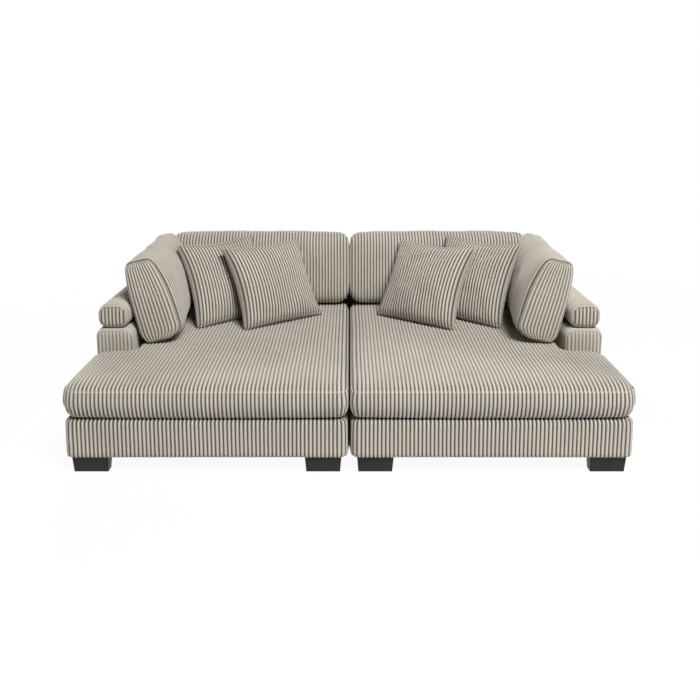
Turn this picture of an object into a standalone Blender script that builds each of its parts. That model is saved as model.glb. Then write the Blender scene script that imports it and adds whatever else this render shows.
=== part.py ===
"""Two-piece chaise longue: two mirrored, upholstered chaises, side by side, hooked together underneath.

Each chaise is a timber box base on four block feet, with sinuous springs, a padded arm with a loose-looking
roll on top, a low leaning back, an L-shaped seat cushion that wraps the front of the arm, a back cushion,
a side cushion that leans on the arm, and two scatter cushions.

Frame: +Z up, -Y is the open front, origin on the floor at the centre of the outline. Metres.
Every piece is worked out in half coordinates, where x runs outward from the middle of the pair, and is then
mirrored for the chaise on the left.
"""

import math

import bmesh
import bpy
from mathutils import Matrix, Vector

# Gaps
TOUCH_GAP = 0.0003  # between pieces that rest on each other
SLIDE_GAP = 0.0006  # around the coupling tongue
CENTRE_GAP = 0.016  # between the two bases
CUT_OVERRUN = 0.02  # how far a cutter runs past what it cuts

# Feet and their bolts
FOOT_WIDTH = 0.168
FOOT_DEPTH = 0.055
FOOT_HEIGHT = 0.073
FOOT_TAPER = 0.006  # taken off each side at the floor
FOOT_INSET_SIDE = 0.028
FOOT_INSET_FRONT = 0.016
BOLT_RADIUS = 0.005
BOLT_IN_FOOT = 0.040
BOLT_IN_BLOCK = 0.045
BOLT_HOLE_CLEARANCE = 0.0003
BOLT_SIDES = 10

# Base
BASE_WIDTH = 1.292
BASE_DEPTH = 1.620
BASE_HEIGHT = 0.184
BASE_CORNER_RADIUS = 0.035
BASE_TOP_ROLL = 0.032
BASE_BOTTOM_ROLL = 0.012
COVER_WALL = 0.012  # foam and fabric on the rails
COVER_LIP = 0.100  # fabric turned in over the top
COVER_LIP_THICKNESS = 0.010
COVER_FLANGE = 0.100  # fabric turned in underneath
COVER_FLANGE_THICKNESS = 0.003
RAIL_THICKNESS = 0.024
CROSS_RAIL_HEIGHT = 0.070
CROSS_RAIL_COUNT = 2
CORNER_BLOCK = 0.105
JOINT_STEP = 0.002  # how far joined timbers stand back from each other's faces
DECK_THICKNESS = 0.010
DECK_EDGE_GAP = 0.002
DUST_COVER_THICKNESS = 0.0015
DUST_COVER_LAP = 0.008

# Sinuous springs
SPRING_COUNT = 5
SPRING_WIRE_RADIUS = 0.0019
SPRING_HALF_LOOP = 0.052
SPRING_LOOP_REACH = 0.024
SPRING_BEND_SHARES = (0.2, 0.8)  # where the wire bends along each half loop
SPRING_ARCH = 0.014
CLIP_WIDTH = 0.064
CLIP_HEIGHT = 0.016
CLIP_THICKNESS = 0.005

# Arm: padded body with a flattened roll on top
ARM_SETBACK = 0.500  # arm front behind base front
ARM_WIDTH = 0.192
ARM_OVERHANG = 0.008  # arm outer side past the base
ARM_HEIGHT = 0.272
ARM_TOP_RADIUS = 0.040
ARM_END_ROLL = 0.024
ARM_WALL = 0.022
ROLL_WIDTH = 0.156
ROLL_HEIGHT = 0.122
ROLL_OUTER_INSET = 0.014  # roll outer side behind arm outer side
ROLL_RADIUS = 0.056
ROLL_END_ROLL = 0.036
BOARD = 0.018  # arm and back timber

# Back
BACK_HEIGHT = 0.450
BACK_DEPTH = 0.205  # at its foot
BACK_LEAN = math.radians(10)
BACK_TOP_RADIUS = 0.035
BACK_END_ROLL = 0.018
BACK_WALL = 0.014

# Seat cushion
SEAT_OVERHANG = 0.020  # past the base front
SEAT_SIDE_OVERHANG = 0.025
SEAT_CENTRE_GAP = 0.003  # from the middle of the pair
SEAT_BULGE = 0.008
SEAT_BOXING = 0.136  # bottom to top seam
SEAT_CROWN = 0.039
SEAT_SHOULDER = 0.120  # width over which the crown rises
# Share of that shoulder on each side: front, outer, behind the ear, beside the arm, rear, centre
SEAT_SHOULDER_SHARES = (1.0, 1.0, 0.30, 0.35, 0.35, 0.40)
SEAT_BOTTOM_ROLL = 0.030
SEAT_TO_ARM_GAP = 0.006
SEAT_FRONT_OUTER_RADIUS = 0.065
SEAT_FRONT_INNER_RADIUS = 0.040
SEAT_EAR_RADIUS = 0.050
SEAT_NOTCH_RADIUS = 0.030
SEAT_REAR_RADIUS = 0.040

# Back cushion
BACK_CUSHION_HEIGHT = 0.458
BACK_CUSHION_BOXING = 0.185
BACK_CUSHION_CROWN = 0.045
BACK_CUSHION_SHOULDER = 0.150
BACK_CUSHION_BULGE = 0.006
BACK_CUSHION_REAR_ROLL = 0.040
BACK_CUSHION_TOP_RADIUS = 0.090
BACK_CUSHION_FOOT_RADIUS = 0.080
BACK_CUSHION_SINK = 0.034  # pressed into the seat
BACK_CUSHION_CENTRE_GAP = 0.006
BACK_CUSHION_ARM_GAP = 0.012

# Side cushion, which leans outward on the arm
SIDE_CUSHION_LENGTH = 0.665
SIDE_CUSHION_HEIGHT = 0.465
SIDE_CUSHION_BOXING = 0.175
SIDE_CUSHION_CROWN = 0.058
SIDE_CUSHION_SHOULDER = 0.190
SIDE_CUSHION_ROLL = 0.030
SIDE_CUSHION_RADIUS = 0.055
SIDE_CUSHION_LEAN = math.radians(14)
SIDE_CUSHION_SINK = 0.034
SIDE_CUSHION_SETBACK = 0.040  # front end behind the arm front
SIDE_CUSHION_ARM_GAP = 0.006
SIDE_CUSHION_TOP_SHARE = 0.66  # thickness left at the top edge
SIDE_CUSHION_FOOT_SHARE = 0.84  # thickness left at the foot
SIDE_CUSHION_REAR_REACH = 0.070  # rear end leans back with the back cushion
SIDE_CUSHION_REAR_RISE = 0.022  # rear top corner above the front one

# Scatter cushions
SCATTER_SIZE = 0.500
SCATTER_THICKNESS = 0.165
SCATTER_PINCH = 0.022  # how far each side draws in between the corners
SCATTER_SINK = 0.012
FRONT_SCATTER_TURN = math.radians(37)
FRONT_SCATTER_LEAN = math.radians(31)
FRONT_SCATTER_FROM_MIDDLE = 0.369  # middle of its foot, from the middle of the pair
FRONT_SCATTER_FROM_BACK = 0.495  # and in front of the back's foot
REAR_SCATTER_TURN = math.radians(42)
REAR_SCATTER_LEAN = math.radians(25.5)
REAR_SCATTER_FROM_ARM = 0.483  # from the arm's inner side
REAR_SCATTER_FROM_BACK = 0.447

# Coupling between the two bases
COUPLING_WIDTH = 0.050
COUPLING_PLATE = 0.003
COUPLING_SCREW_LAND = 0.042
COUPLING_REACH = 0.046  # tongue tip past the middle of the pair
COUPLING_EDGE = 0.022  # bracket's near edge from the middle of the pair
COUPLING_FLARE = 0.004
COUPLING_FLARE_LENGTH = 0.010
COUPLING_FRONT_INSET = 0.330  # bracket's middle behind the base front
COUPLING_REAR_INSET = 0.310  # and in front of the base rear

# Facet counts
CORNER_STEPS = 4
ROLL_STEPS = 2
TOP_ROLL_STEPS = 3
SCATTER_STEPS = 10
SCATTER_FULLNESS = 0.46  # exponent of the swell: lower is fuller at the seam
SHARP_ANGLE = math.radians(35)  # a sharper bend than this is shaded as an edge

# Crowns rise over their shoulder by these shares
CROWN_SHARES = ((0.07, 0.30), (0.25, 0.60), (0.55, 0.87), (1.0, 1.0))

# Places that follow from the sizes above
BASE_BOTTOM = FOOT_HEIGHT + TOUCH_GAP
BASE_TOP = BASE_BOTTOM + BASE_HEIGHT
INNER_SIDE = CENTRE_GAP / 2
OUTER_SIDE = INNER_SIDE + BASE_WIDTH
OVERALL_DEPTH = BASE_DEPTH + SEAT_OVERHANG
BASE_REAR = OVERALL_DEPTH / 2
BASE_FRONT = BASE_REAR - BASE_DEPTH
FRAME_INSET = COVER_WALL + TOUCH_GAP
FRAME_BOTTOM = BASE_BOTTOM + COVER_FLANGE_THICKNESS + TOUCH_GAP
FRAME_TOP = BASE_TOP - COVER_LIP_THICKNESS - TOUCH_GAP
RAIL_INNER = FRAME_INSET + RAIL_THICKNESS  # rail inner faces, in from the base outline

ARM_OUTER = OUTER_SIDE + ARM_OVERHANG
ARM_INNER = ARM_OUTER - ARM_WIDTH
ARM_FRONT = BASE_FRONT + ARM_SETBACK
ARM_FOOT = BASE_TOP + TOUCH_GAP
ARM_TOP = ARM_FOOT + ARM_HEIGHT
ROLL_OUTER = ARM_OUTER - ROLL_OUTER_INSET
ROLL_INNER = ROLL_OUTER - ROLL_WIDTH

BACK_FOOT = BASE_TOP + TOUCH_GAP
BACK_FRONT = BASE_REAR - BACK_DEPTH
BACK_OUTER = ARM_INNER - TOUCH_GAP

SEAT_FOOT = BASE_TOP + TOUCH_GAP
SEAT_TOP = SEAT_FOOT + SEAT_BOXING + SEAT_CROWN
SEAT_REST = SEAT_TOP + TOUCH_GAP  # the plane that cushions stand on


def clear_scene():
    for obj in list(bpy.data.objects):
        bpy.data.objects.remove(obj)


def material(name, colour, roughness, metallic=0.0):
    made = bpy.data.materials.new(name)
    made.use_nodes = True
    shader = made.node_tree.nodes["Principled BSDF"]
    shader.inputs["Base Color"].default_value = (*colour, 1.0)
    shader.inputs["Roughness"].default_value = roughness
    shader.inputs["Metallic"].default_value = metallic
    return made


def add_object(name, mesh, parent=None, place=(0, 0, 0), turn=(0, 0, 0), smooth=True):
    obj = bpy.data.objects.new(name, mesh)
    bpy.context.scene.collection.objects.link(obj)
    obj.location = place
    obj.rotation_euler = turn
    obj.parent = parent
    if smooth:
        mesh.shade_smooth()
        mesh.set_sharp_from_angle(angle=SHARP_ANGLE)
    return obj


def finish_mesh(name, shape, finish=None, side=1):
    """Turns a bmesh in half coordinates into a mesh for the chaise on that side (1 right, -1 left)."""
    if side < 0:
        bmesh.ops.scale(shape, vec=(-1, 1, 1), verts=shape.verts)
    bmesh.ops.recalc_face_normals(shape, faces=shape.faces)
    mesh = bpy.data.meshes.new(name)
    shape.to_mesh(mesh)
    shape.free()
    if finish:
        mesh.materials.append(finish)
    return mesh


def hidden(obj):
    """Marks a cutter or a block that a Boolean joins: it shapes other pieces and is not one itself."""
    obj.hide_render = True
    obj.display_type = "WIRE"
    return obj


def boolean(obj, other, operation="DIFFERENCE"):
    step = obj.modifiers.new(operation.title(), "BOOLEAN")
    step.operation = operation
    step.object = other


def baked_mesh(obj, name):
    """The mesh of an object with its modifiers applied, to share between copies. The object is removed."""
    bpy.context.view_layer.update()
    graph = bpy.context.evaluated_depsgraph_get()
    mesh = bpy.data.meshes.new_from_object(obj.evaluated_get(graph))
    mesh.name = name
    bpy.data.objects.remove(obj)
    return mesh


def add_box(shape, low, high):
    middle = (Vector(low) + Vector(high)) / 2
    size = Vector(high) - Vector(low)
    bmesh.ops.create_cube(shape, size=1, matrix=Matrix.Translation(middle) @ Matrix.Diagonal((*size, 1)))


def boxes(*pairs):
    shape = bmesh.new()
    for low, high in pairs:
        add_box(shape, low, high)
    return shape


def rounded_outline(corners, inset, shares=None, steps=CORNER_STEPS):
    """Points round a polygon given as (x, y, radius), anticlockwise, moved inward by inset.
    shares scale that move for the side that leaves each corner."""
    points = []
    for i, (x, y, radius) in enumerate(corners):
        here = Vector((x, y))
        arriving = (here - Vector(corners[i - 1][:2])).normalized()
        leaving = (Vector(corners[(i + 1) % len(corners)][:2]) - here).normalized()
        in_first = Vector((-arriving.y, arriving.x))
        in_second = Vector((-leaving.y, leaving.x))
        first = inset * (shares[i - 1] if shares else 1)
        second = inset * (shares[i] if shares else 1)
        cosine = in_first.dot(in_second)
        step = in_first * (first - second * cosine) + in_second * (second - first * cosine)
        moved = here + step / (1 - cosine * cosine)
        turn = math.atan2(arriving.cross(leaving), arriving.dot(leaving))
        hand = math.copysign(1, turn)
        bend = max(radius - hand * (first + second) / 2, TOUCH_GAP)
        start = moved - arriving * bend * math.tan(abs(turn) / 2)
        centre = start + in_first * bend * hand
        for k in range(steps + 1):
            points.append(centre + Matrix.Rotation(turn * k / steps, 2) @ (start - centre))
    return points


def loft(rings, capped=True):
    """Joins rings of as many points each. Without caps on its ends, the last ring joins the first."""
    shape = bmesh.new()
    made = [[shape.verts.new(point) for point in ring] for ring in rings]
    pairs = list(zip(made, made[1:])) if capped else list(zip(made, made[1:] + made[:1]))
    for lower, upper in pairs:
        for i in range(len(lower)):
            j = (i + 1) % len(lower)
            shape.faces.new((lower[i], lower[j], upper[j], upper[i]))
    if capped:
        shape.faces.new(reversed(made[0]))
        shape.faces.new(made[-1])
    return shape


def rolled_edge(radius, steps=ROLL_STEPS):
    """(inset, height) pairs from a flat face round an edge of that radius to a wall."""
    angles = [math.pi / 2 * k / steps for k in range(steps + 1)]
    return [(radius * (1 - math.sin(angle)), radius * (1 - math.cos(angle))) for angle in angles]


def crown(shoulder, rise, start):
    """(inset, height) pairs from a seam at height start up over a crowned face."""
    return [(inset * shoulder, start + height * rise) for inset, height in CROWN_SHARES]


def rolled_length(length, radius):
    """(inset, distance) pairs along a bar whose two ends are rolled over."""
    near = rolled_edge(radius)
    return near + [(inset, length - distance) for inset, distance in reversed(near)]


def slab(corners, walls, to_place, crowned=(), shares=None):
    """A solid whose outline is moved in and out along its depth: first the walls, then a crown.
    shares are the crown's; to_place turns (u, v, depth) into a point."""
    rings = [(rounded_outline(corners, inset), depth) for inset, depth in walls]
    rings += [(rounded_outline(corners, inset, shares), depth) for inset, depth in crowned]
    return loft([[to_place(u, v, depth) for u, v in outline] for outline, depth in rings])


def foot_places():
    """(name, x, y) of the middle of each foot of one chaise, in half coordinates."""
    inner = INNER_SIDE + FOOT_INSET_SIDE + FOOT_WIDTH / 2
    outer = OUTER_SIDE - FOOT_INSET_SIDE - FOOT_WIDTH / 2
    front = BASE_FRONT + FOOT_INSET_FRONT + FOOT_DEPTH / 2
    rear = BASE_REAR - FOOT_INSET_FRONT - FOOT_DEPTH / 2
    return [
        ("front_inner", inner, front),
        ("front_outer", outer, front),
        ("rear_inner", inner, rear),
        ("rear_outer", outer, rear),
    ]


def cylinder(radius, low, high, x=0, y=0):
    ring = [
        (x + radius * math.cos(math.tau * k / BOLT_SIDES), y + radius * math.sin(math.tau * k / BOLT_SIDES))
        for k in range(BOLT_SIDES)
    ]
    return loft([[(px, py, z) for px, py in ring] for z in (low, high)])


def foot_mesh(finish):
    """Block foot, narrower at the floor, with the bolt's blind hole in its top. Origin at the floor."""
    half_width, half_depth = FOOT_WIDTH / 2, FOOT_DEPTH / 2
    rings = []
    for height, narrowing in ((0, FOOT_TAPER), (FOOT_HEIGHT, 0)):
        x, y = half_width - narrowing, half_depth - narrowing
        rings.append([(-x, -y, height), (x, -y, height), (x, y, height), (-x, y, height)])
    foot = add_object("foot", finish_mesh("foot", loft(rings), finish), smooth=False)
    hole_bottom = FOOT_HEIGHT - BOLT_IN_FOOT - TOUCH_GAP
    drill = cylinder(BOLT_RADIUS + BOLT_HOLE_CLEARANCE, hole_bottom, FOOT_HEIGHT + CUT_OVERRUN)
    cutter = hidden(add_object("foot_drill", finish_mesh("foot_drill", drill)))
    boolean(foot, cutter)
    mesh = baked_mesh(foot, "foot")
    bpy.data.objects.remove(cutter)
    return mesh


def bolt_mesh(finish):
    """Hanger bolt from inside the foot up into the corner block. Origin at the floor."""
    shank = cylinder(BOLT_RADIUS, FOOT_HEIGHT - BOLT_IN_FOOT, BASE_BOTTOM + BOLT_IN_BLOCK)
    return finish_mesh("bolt", shank, finish)


def add_feet(label, side, parent, foot, bolt):
    for name, x, y in foot_places():
        add_object(f"foot_{name}_{label}", foot, parent, (side * x, y, 0), smooth=False)
        add_object(f"foot_bolt_{name}_{label}", bolt, parent, (side * x, y, 0))


def bolt_drills(label, side):
    """One hidden object with the four bolt holes, which cuts the cover and the frame alike."""
    shape = bmesh.new()
    for _, x, y in foot_places():
        top = BASE_BOTTOM + BOLT_IN_BLOCK + TOUCH_GAP
        drill = cylinder(BOLT_RADIUS + BOLT_HOLE_CLEARANCE, BASE_BOTTOM - CUT_OVERRUN, top, x, y)
        mesh = finish_mesh("drill", drill)
        shape.from_mesh(mesh)
        bpy.data.meshes.remove(mesh)
    return hidden(add_object(f"bolt_drills_{label}", finish_mesh("bolt_drills", shape, side=side)))


def base_corners(radius):
    return [
        (INNER_SIDE, BASE_FRONT, radius),
        (OUTER_SIDE, BASE_FRONT, radius),
        (OUTER_SIDE, BASE_REAR, radius),
        (INNER_SIDE, BASE_REAR, radius),
    ]


def add_base_cover(label, side, parent, finish, drills):
    """Padded casing of the base: a C section carried round its outline, open above and underneath."""
    bottom_roll = [(inset, BASE_BOTTOM + rise) for inset, rise in rolled_edge(BASE_BOTTOM_ROLL)]
    over_top = reversed(rolled_edge(BASE_TOP_ROLL, TOP_ROLL_STEPS))
    top_roll = [(inset, BASE_TOP - rise) for inset, rise in over_top]
    section = [(COVER_FLANGE, BASE_BOTTOM), *bottom_roll, *top_roll]
    lip_foot = BASE_TOP - COVER_LIP_THICKNESS
    flange_top = BASE_BOTTOM + COVER_FLANGE_THICKNESS
    section += [(COVER_LIP, BASE_TOP), (COVER_LIP, lip_foot), (COVER_WALL, lip_foot)]
    section += [(COVER_WALL, flange_top), (COVER_FLANGE, flange_top)]
    corners = base_corners(BASE_CORNER_RADIUS)
    rings = [[(x, y, z) for x, y in rounded_outline(corners, inset)] for inset, z in section]
    cover = add_object(
        f"base_cover_{label}", finish_mesh("base_cover", loft(rings, capped=False), finish, side), parent
    )
    boolean(cover, drills)
    return cover


def add_base_frame(label, side, parent, finish, drills):
    """Timber rails in a ring, with cross rails and a block in each corner that takes the foot bolt."""
    section = [
        (FRAME_INSET, FRAME_BOTTOM),
        (FRAME_INSET, FRAME_TOP),
        (RAIL_INNER, FRAME_TOP),
        (RAIL_INNER, FRAME_BOTTOM),
    ]
    # The rails' outer corner is rounded as the cover's inside is.
    corners = base_corners(BASE_CORNER_RADIUS)
    rings = [[(x, y, z) for x, y in rounded_outline(corners, inset)] for inset, z in section]
    frame = add_object(
        f"base_frame_{label}", finish_mesh("base_frame", loft(rings, capped=False), finish, side), parent
    )
    inner, outer = INNER_SIDE + RAIL_INNER - JOINT_STEP, OUTER_SIDE - RAIL_INNER + JOINT_STEP
    front, rear = BASE_FRONT + RAIL_INNER - JOINT_STEP, BASE_REAR - RAIL_INNER + JOINT_STEP
    low, high = FRAME_BOTTOM + JOINT_STEP, FRAME_TOP - 2 * SPRING_ARCH - CLIP_HEIGHT
    shape = bmesh.new()
    for block_x in ((inner, inner + CORNER_BLOCK), (outer - CORNER_BLOCK, outer)):
        for block_y in ((front, front + CORNER_BLOCK), (rear - CORNER_BLOCK, rear)):
            add_box(shape, (block_x[0], block_y[0], low), (block_x[1], block_y[1], high))
    for k in range(CROSS_RAIL_COUNT):
        middle = front + (rear - front) * (k + 1) / (CROSS_RAIL_COUNT + 1)
        half = RAIL_THICKNESS / 2
        add_box(shape, (inner, middle - half, low), (outer, middle + half, low + CROSS_RAIL_HEIGHT))
    blocks = hidden(add_object(f"base_frame_blocks_{label}", finish_mesh("blocks", shape, side=side)))
    boolean(frame, blocks, "UNION")
    boolean(frame, drills)
    return frame


def swept_wire(points, radius):
    """A four-sided wire along points that lie close to a level plane."""
    rings = []
    for i, point in enumerate(points):
        before, after = points[max(i - 1, 0)], points[min(i + 1, len(points) - 1)]
        along = (after - before).normalized()
        across = along.cross(Vector((0, 0, 1))).normalized()
        up = across.cross(along)
        rings.append([point + offset * radius for offset in (up, across, -up, -across)])
    return loft(rings)


def spring_mesh(finish):
    """Sinuous spring between the side rails, arched upward, with the clip that holds each end to its rail.
    Origin in the middle, level with the ends."""
    span = BASE_WIDTH - 2 * RAIL_INNER - 2 * TOUCH_GAP
    reach = span / 2 - CLIP_THICKNESS / 2
    loops = 2 * round(reach / SPRING_HALF_LOOP)
    points = []
    for k in range(loops):
        hand = 1 if k % 2 else -1
        for share in SPRING_BEND_SHARES:
            x = -reach + 2 * reach * (k + share) / loops
            points.append((x, hand * SPRING_LOOP_REACH))
    points = [(-reach, points[0][1]), *points, (reach, points[-1][1])]
    arched = [Vector((x, y, SPRING_ARCH * (1 - (x / reach) ** 2))) for x, y in points]
    wire = add_object("spring", finish_mesh("spring", swept_wire(arched, SPRING_WIRE_RADIUS), finish))
    ends = []
    for hand in (-1, 1):
        near, far = sorted((hand * span / 2, hand * (span / 2 - CLIP_THICKNESS)))
        ends.append(((near, -CLIP_WIDTH / 2, -CLIP_HEIGHT / 2), (far, CLIP_WIDTH / 2, CLIP_HEIGHT / 2)))
    clips = hidden(add_object("spring_clips", finish_mesh("clips", boxes(*ends)), smooth=False))
    boolean(wire, clips, "UNION")
    mesh = baked_mesh(wire, "seat_spring")
    bpy.data.objects.remove(clips)
    return mesh


def add_springs(label, side, parent, spring):
    """The springs' crown carries the deck pad."""
    middle = side * (INNER_SIDE + OUTER_SIDE) / 2
    height = FRAME_TOP - DECK_THICKNESS - TOUCH_GAP - SPRING_ARCH - SPRING_WIRE_RADIUS
    front, rear = BASE_FRONT + RAIL_INNER, BASE_REAR - RAIL_INNER
    for k in range(SPRING_COUNT):
        y = front + (rear - front) * (k + 1) / (SPRING_COUNT + 1)
        add_object(f"seat_spring_{k + 1}_{label}", spring, parent, (middle, y, height))


def add_deck_pad(label, side, parent, finish):
    """Felt pad over the springs, inside the rails and under the cover's lip."""
    inset = RAIL_INNER + DECK_EDGE_GAP
    low = (INNER_SIDE + inset, BASE_FRONT + inset, FRAME_TOP - DECK_THICKNESS)
    high = (OUTER_SIDE - inset, BASE_REAR - inset, FRAME_TOP)
    mesh = finish_mesh("deck_pad", boxes((low, high)), finish, side)
    add_object(f"deck_pad_{label}", mesh, parent, smooth=False)


def add_dust_cover(label, side, parent, finish):
    """Thin cloth that closes the underside, lapped over the cover's flange."""
    inset = COVER_FLANGE - DUST_COVER_LAP
    top = BASE_BOTTOM - TOUCH_GAP
    low = (INNER_SIDE + inset, BASE_FRONT + inset, top - DUST_COVER_THICKNESS)
    high = (OUTER_SIDE - inset, BASE_REAR - inset, top)
    mesh = finish_mesh("dust_cover", boxes((low, high)), finish, side)
    add_object(f"dust_cover_{label}", mesh, parent, smooth=False)


def arm_corners(inner, outer, foot, top, radius):
    """Front view of an arm piece: square at the foot, rounded at the top."""
    low_radius = min(radius, BASE_BOTTOM_ROLL)
    return [(inner, foot, low_radius), (outer, foot, low_radius), (outer, top, radius), (inner, top, radius)]


def add_arm(label, side, parent, fabric, timber):
    """Arm body shell, its timber frame inside, and the roll on top."""
    length = BASE_REAR - ARM_FRONT
    corners = arm_corners(ARM_INNER, ARM_OUTER, ARM_FOOT, ARM_TOP, ARM_TOP_RADIUS)
    body = slab(corners, rolled_length(length, ARM_END_ROLL), lambda u, v, w: (u, ARM_FRONT + w, v))
    cover = add_object(f"arm_cover_{label}", finish_mesh("arm_cover", body, fabric, side), parent)
    low = (ARM_INNER + ARM_WALL, ARM_FRONT + ARM_WALL, ARM_FOOT - CUT_OVERRUN)
    high = (ARM_OUTER - ARM_WALL, BASE_REAR - ARM_WALL, ARM_TOP - ARM_WALL)
    hollow_mesh = finish_mesh("arm_hollow", boxes((low, high)), side=side)
    boolean(cover, hidden(add_object(f"arm_hollow_{label}", hollow_mesh)))

    inner, outer = low[0] + TOUCH_GAP, high[0] - TOUCH_GAP
    front, rear = low[1] + TOUCH_GAP, high[1] - TOUCH_GAP
    foot, top = ARM_FOOT, high[2] - TOUCH_GAP
    plank = finish_mesh("arm_frame", boxes(((inner, front, top - BOARD), (outer, rear, top))), timber, side)
    frame = add_object(f"arm_frame_{label}", plank, parent, smooth=False)
    shape = bmesh.new()
    step = JOINT_STEP
    add_box(shape, (inner + step, front + step, foot), (outer - step, front + step + BOARD, top - step))
    add_box(shape, (inner + step, rear - step - BOARD, foot), (outer - step, rear - step, top - step))
    middle = (front + rear) / 2
    add_box(shape, (inner + step, middle - BOARD / 2, foot), (outer - step, middle + BOARD / 2, top - step))
    braces = bmesh.new()
    add_box(
        braces,
        (outer - 2 * step - BOARD, front + 2 * step, foot + step),
        (outer - 2 * step, rear - 2 * step, foot + step + 2 * BOARD),
    )
    for name, joined in (("arm_posts", shape), ("arm_brace", braces)):
        block = add_object(f"{name}_{label}", finish_mesh(name, joined, side=side), smooth=False)
        boolean(frame, hidden(block), "UNION")

    foot = ARM_TOP + TOUCH_GAP
    corners = [
        (ROLL_INNER, foot, ROLL_RADIUS),
        (ROLL_OUTER, foot, ROLL_RADIUS),
        (ROLL_OUTER, foot + ROLL_HEIGHT, ROLL_RADIUS),
        (ROLL_INNER, foot + ROLL_HEIGHT, ROLL_RADIUS),
    ]
    roll = slab(corners, rolled_length(length, ROLL_END_ROLL), lambda u, v, w: (u, ARM_FRONT + w, v))
    add_object(f"arm_roll_{label}", finish_mesh("arm_roll", roll, fabric, side), parent)


def back_front_at(height):
    """y of the back's leaning front face at a height."""
    return BACK_FRONT + (height - BACK_FOOT) * math.tan(BACK_LEAN)


def back_section(inset, foot):
    """Side view of the back, as (y, z, radius): upright behind, leaning in front."""
    top = BACK_FOOT + BACK_HEIGHT
    lean_shift = inset / math.cos(BACK_LEAN)
    radius = max(BACK_TOP_RADIUS - inset, TOUCH_GAP)
    return [
        (back_front_at(foot) + lean_shift, foot, TOUCH_GAP),
        (BASE_REAR - inset, foot, TOUCH_GAP),
        (BASE_REAR - inset, top - inset, radius),
        (back_front_at(top - inset) + lean_shift, top - inset, radius),
    ]


def add_back(label, side, parent, fabric, timber):
    """Back shell with its timber frame: a top rail, a foot rail and three posts cut to its section."""
    ends = rolled_length(BACK_OUTER - INNER_SIDE, BACK_END_ROLL)
    body = slab(back_section(0, BACK_FOOT), ends, lambda u, v, w: (INNER_SIDE + w, u, v))
    cover = add_object(f"back_cover_{label}", finish_mesh("back_cover", body, fabric, side), parent)
    inner, outer = INNER_SIDE + BACK_WALL, BACK_OUTER - BACK_WALL
    section = back_section(BACK_WALL, BACK_FOOT - CUT_OVERRUN)
    rings = [[(x, y, z) for y, z in rounded_outline(section, 0)] for x in (inner, outer)]
    hollow_mesh = finish_mesh("back_hollow", loft(rings), side=side)
    boolean(cover, hidden(add_object(f"back_hollow_{label}", hollow_mesh)))

    section = back_section(BACK_WALL + TOUCH_GAP, BACK_FOOT)
    ends = (inner + TOUCH_GAP, outer - TOUCH_GAP)
    rings = [[(x, y, z) for y, z in rounded_outline(section, 0)] for x in ends]
    panel = finish_mesh("back_frame", loft(rings), timber, side)
    frame = add_object(f"back_frame_{label}", panel, parent, smooth=False)
    top = BACK_FOOT + BACK_HEIGHT - BACK_WALL - 3 * BOARD
    front, rear = BACK_FRONT - CUT_OVERRUN, BASE_REAR + CUT_OVERRUN
    bay = (outer - inner - 2 * TOUCH_GAP - 3 * BOARD) / 2
    shape = bmesh.new()
    for k in range(2):
        low = inner + TOUCH_GAP + BOARD + k * (bay + BOARD)
        add_box(shape, (low, front, BACK_FOOT + 2 * BOARD), (low + bay, rear, top))
    bays = add_object(f"back_bays_{label}", finish_mesh("back_bays", shape, side=side), smooth=False)
    boolean(frame, hidden(bays))


def seat_corners():
    """Plan of the seat cushion: an L that fills the seat and wraps round the front of the arm."""
    inner = SEAT_CENTRE_GAP + SEAT_BULGE
    outer = OUTER_SIDE + SEAT_SIDE_OVERHANG - SEAT_BULGE
    front = BASE_FRONT - SEAT_OVERHANG + SEAT_BULGE
    notch_x = ARM_INNER - SEAT_TO_ARM_GAP - SEAT_BULGE
    notch_y = ARM_FRONT - SEAT_TO_ARM_GAP - SEAT_BULGE
    rear = BACK_FRONT - SEAT_TO_ARM_GAP - SEAT_BULGE
    return [
        (inner, front, SEAT_FRONT_INNER_RADIUS),
        (outer, front, SEAT_FRONT_OUTER_RADIUS),
        (outer, notch_y, SEAT_EAR_RADIUS),
        (notch_x, notch_y, SEAT_NOTCH_RADIUS),
        (notch_x, rear, SEAT_REAR_RADIUS),
        (inner, rear, SEAT_REAR_RADIUS),
    ]


def add_seat_cushion(label, side, parent, finish):
    walls = rolled_edge(SEAT_BOTTOM_ROLL)
    walls += [(-SEAT_BULGE, (SEAT_BOTTOM_ROLL + SEAT_BOXING) / 2), (0, SEAT_BOXING)]
    crowned = crown(SEAT_SHOULDER, SEAT_CROWN, SEAT_BOXING)

    def to_place(u, v, w):
        return (u, v, SEAT_FOOT + w)

    shape = slab(seat_corners(), walls, to_place, crowned, SEAT_SHOULDER_SHARES)
    add_object(f"seat_cushion_{label}", finish_mesh("seat_cushion", shape, finish, side), parent)


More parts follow.
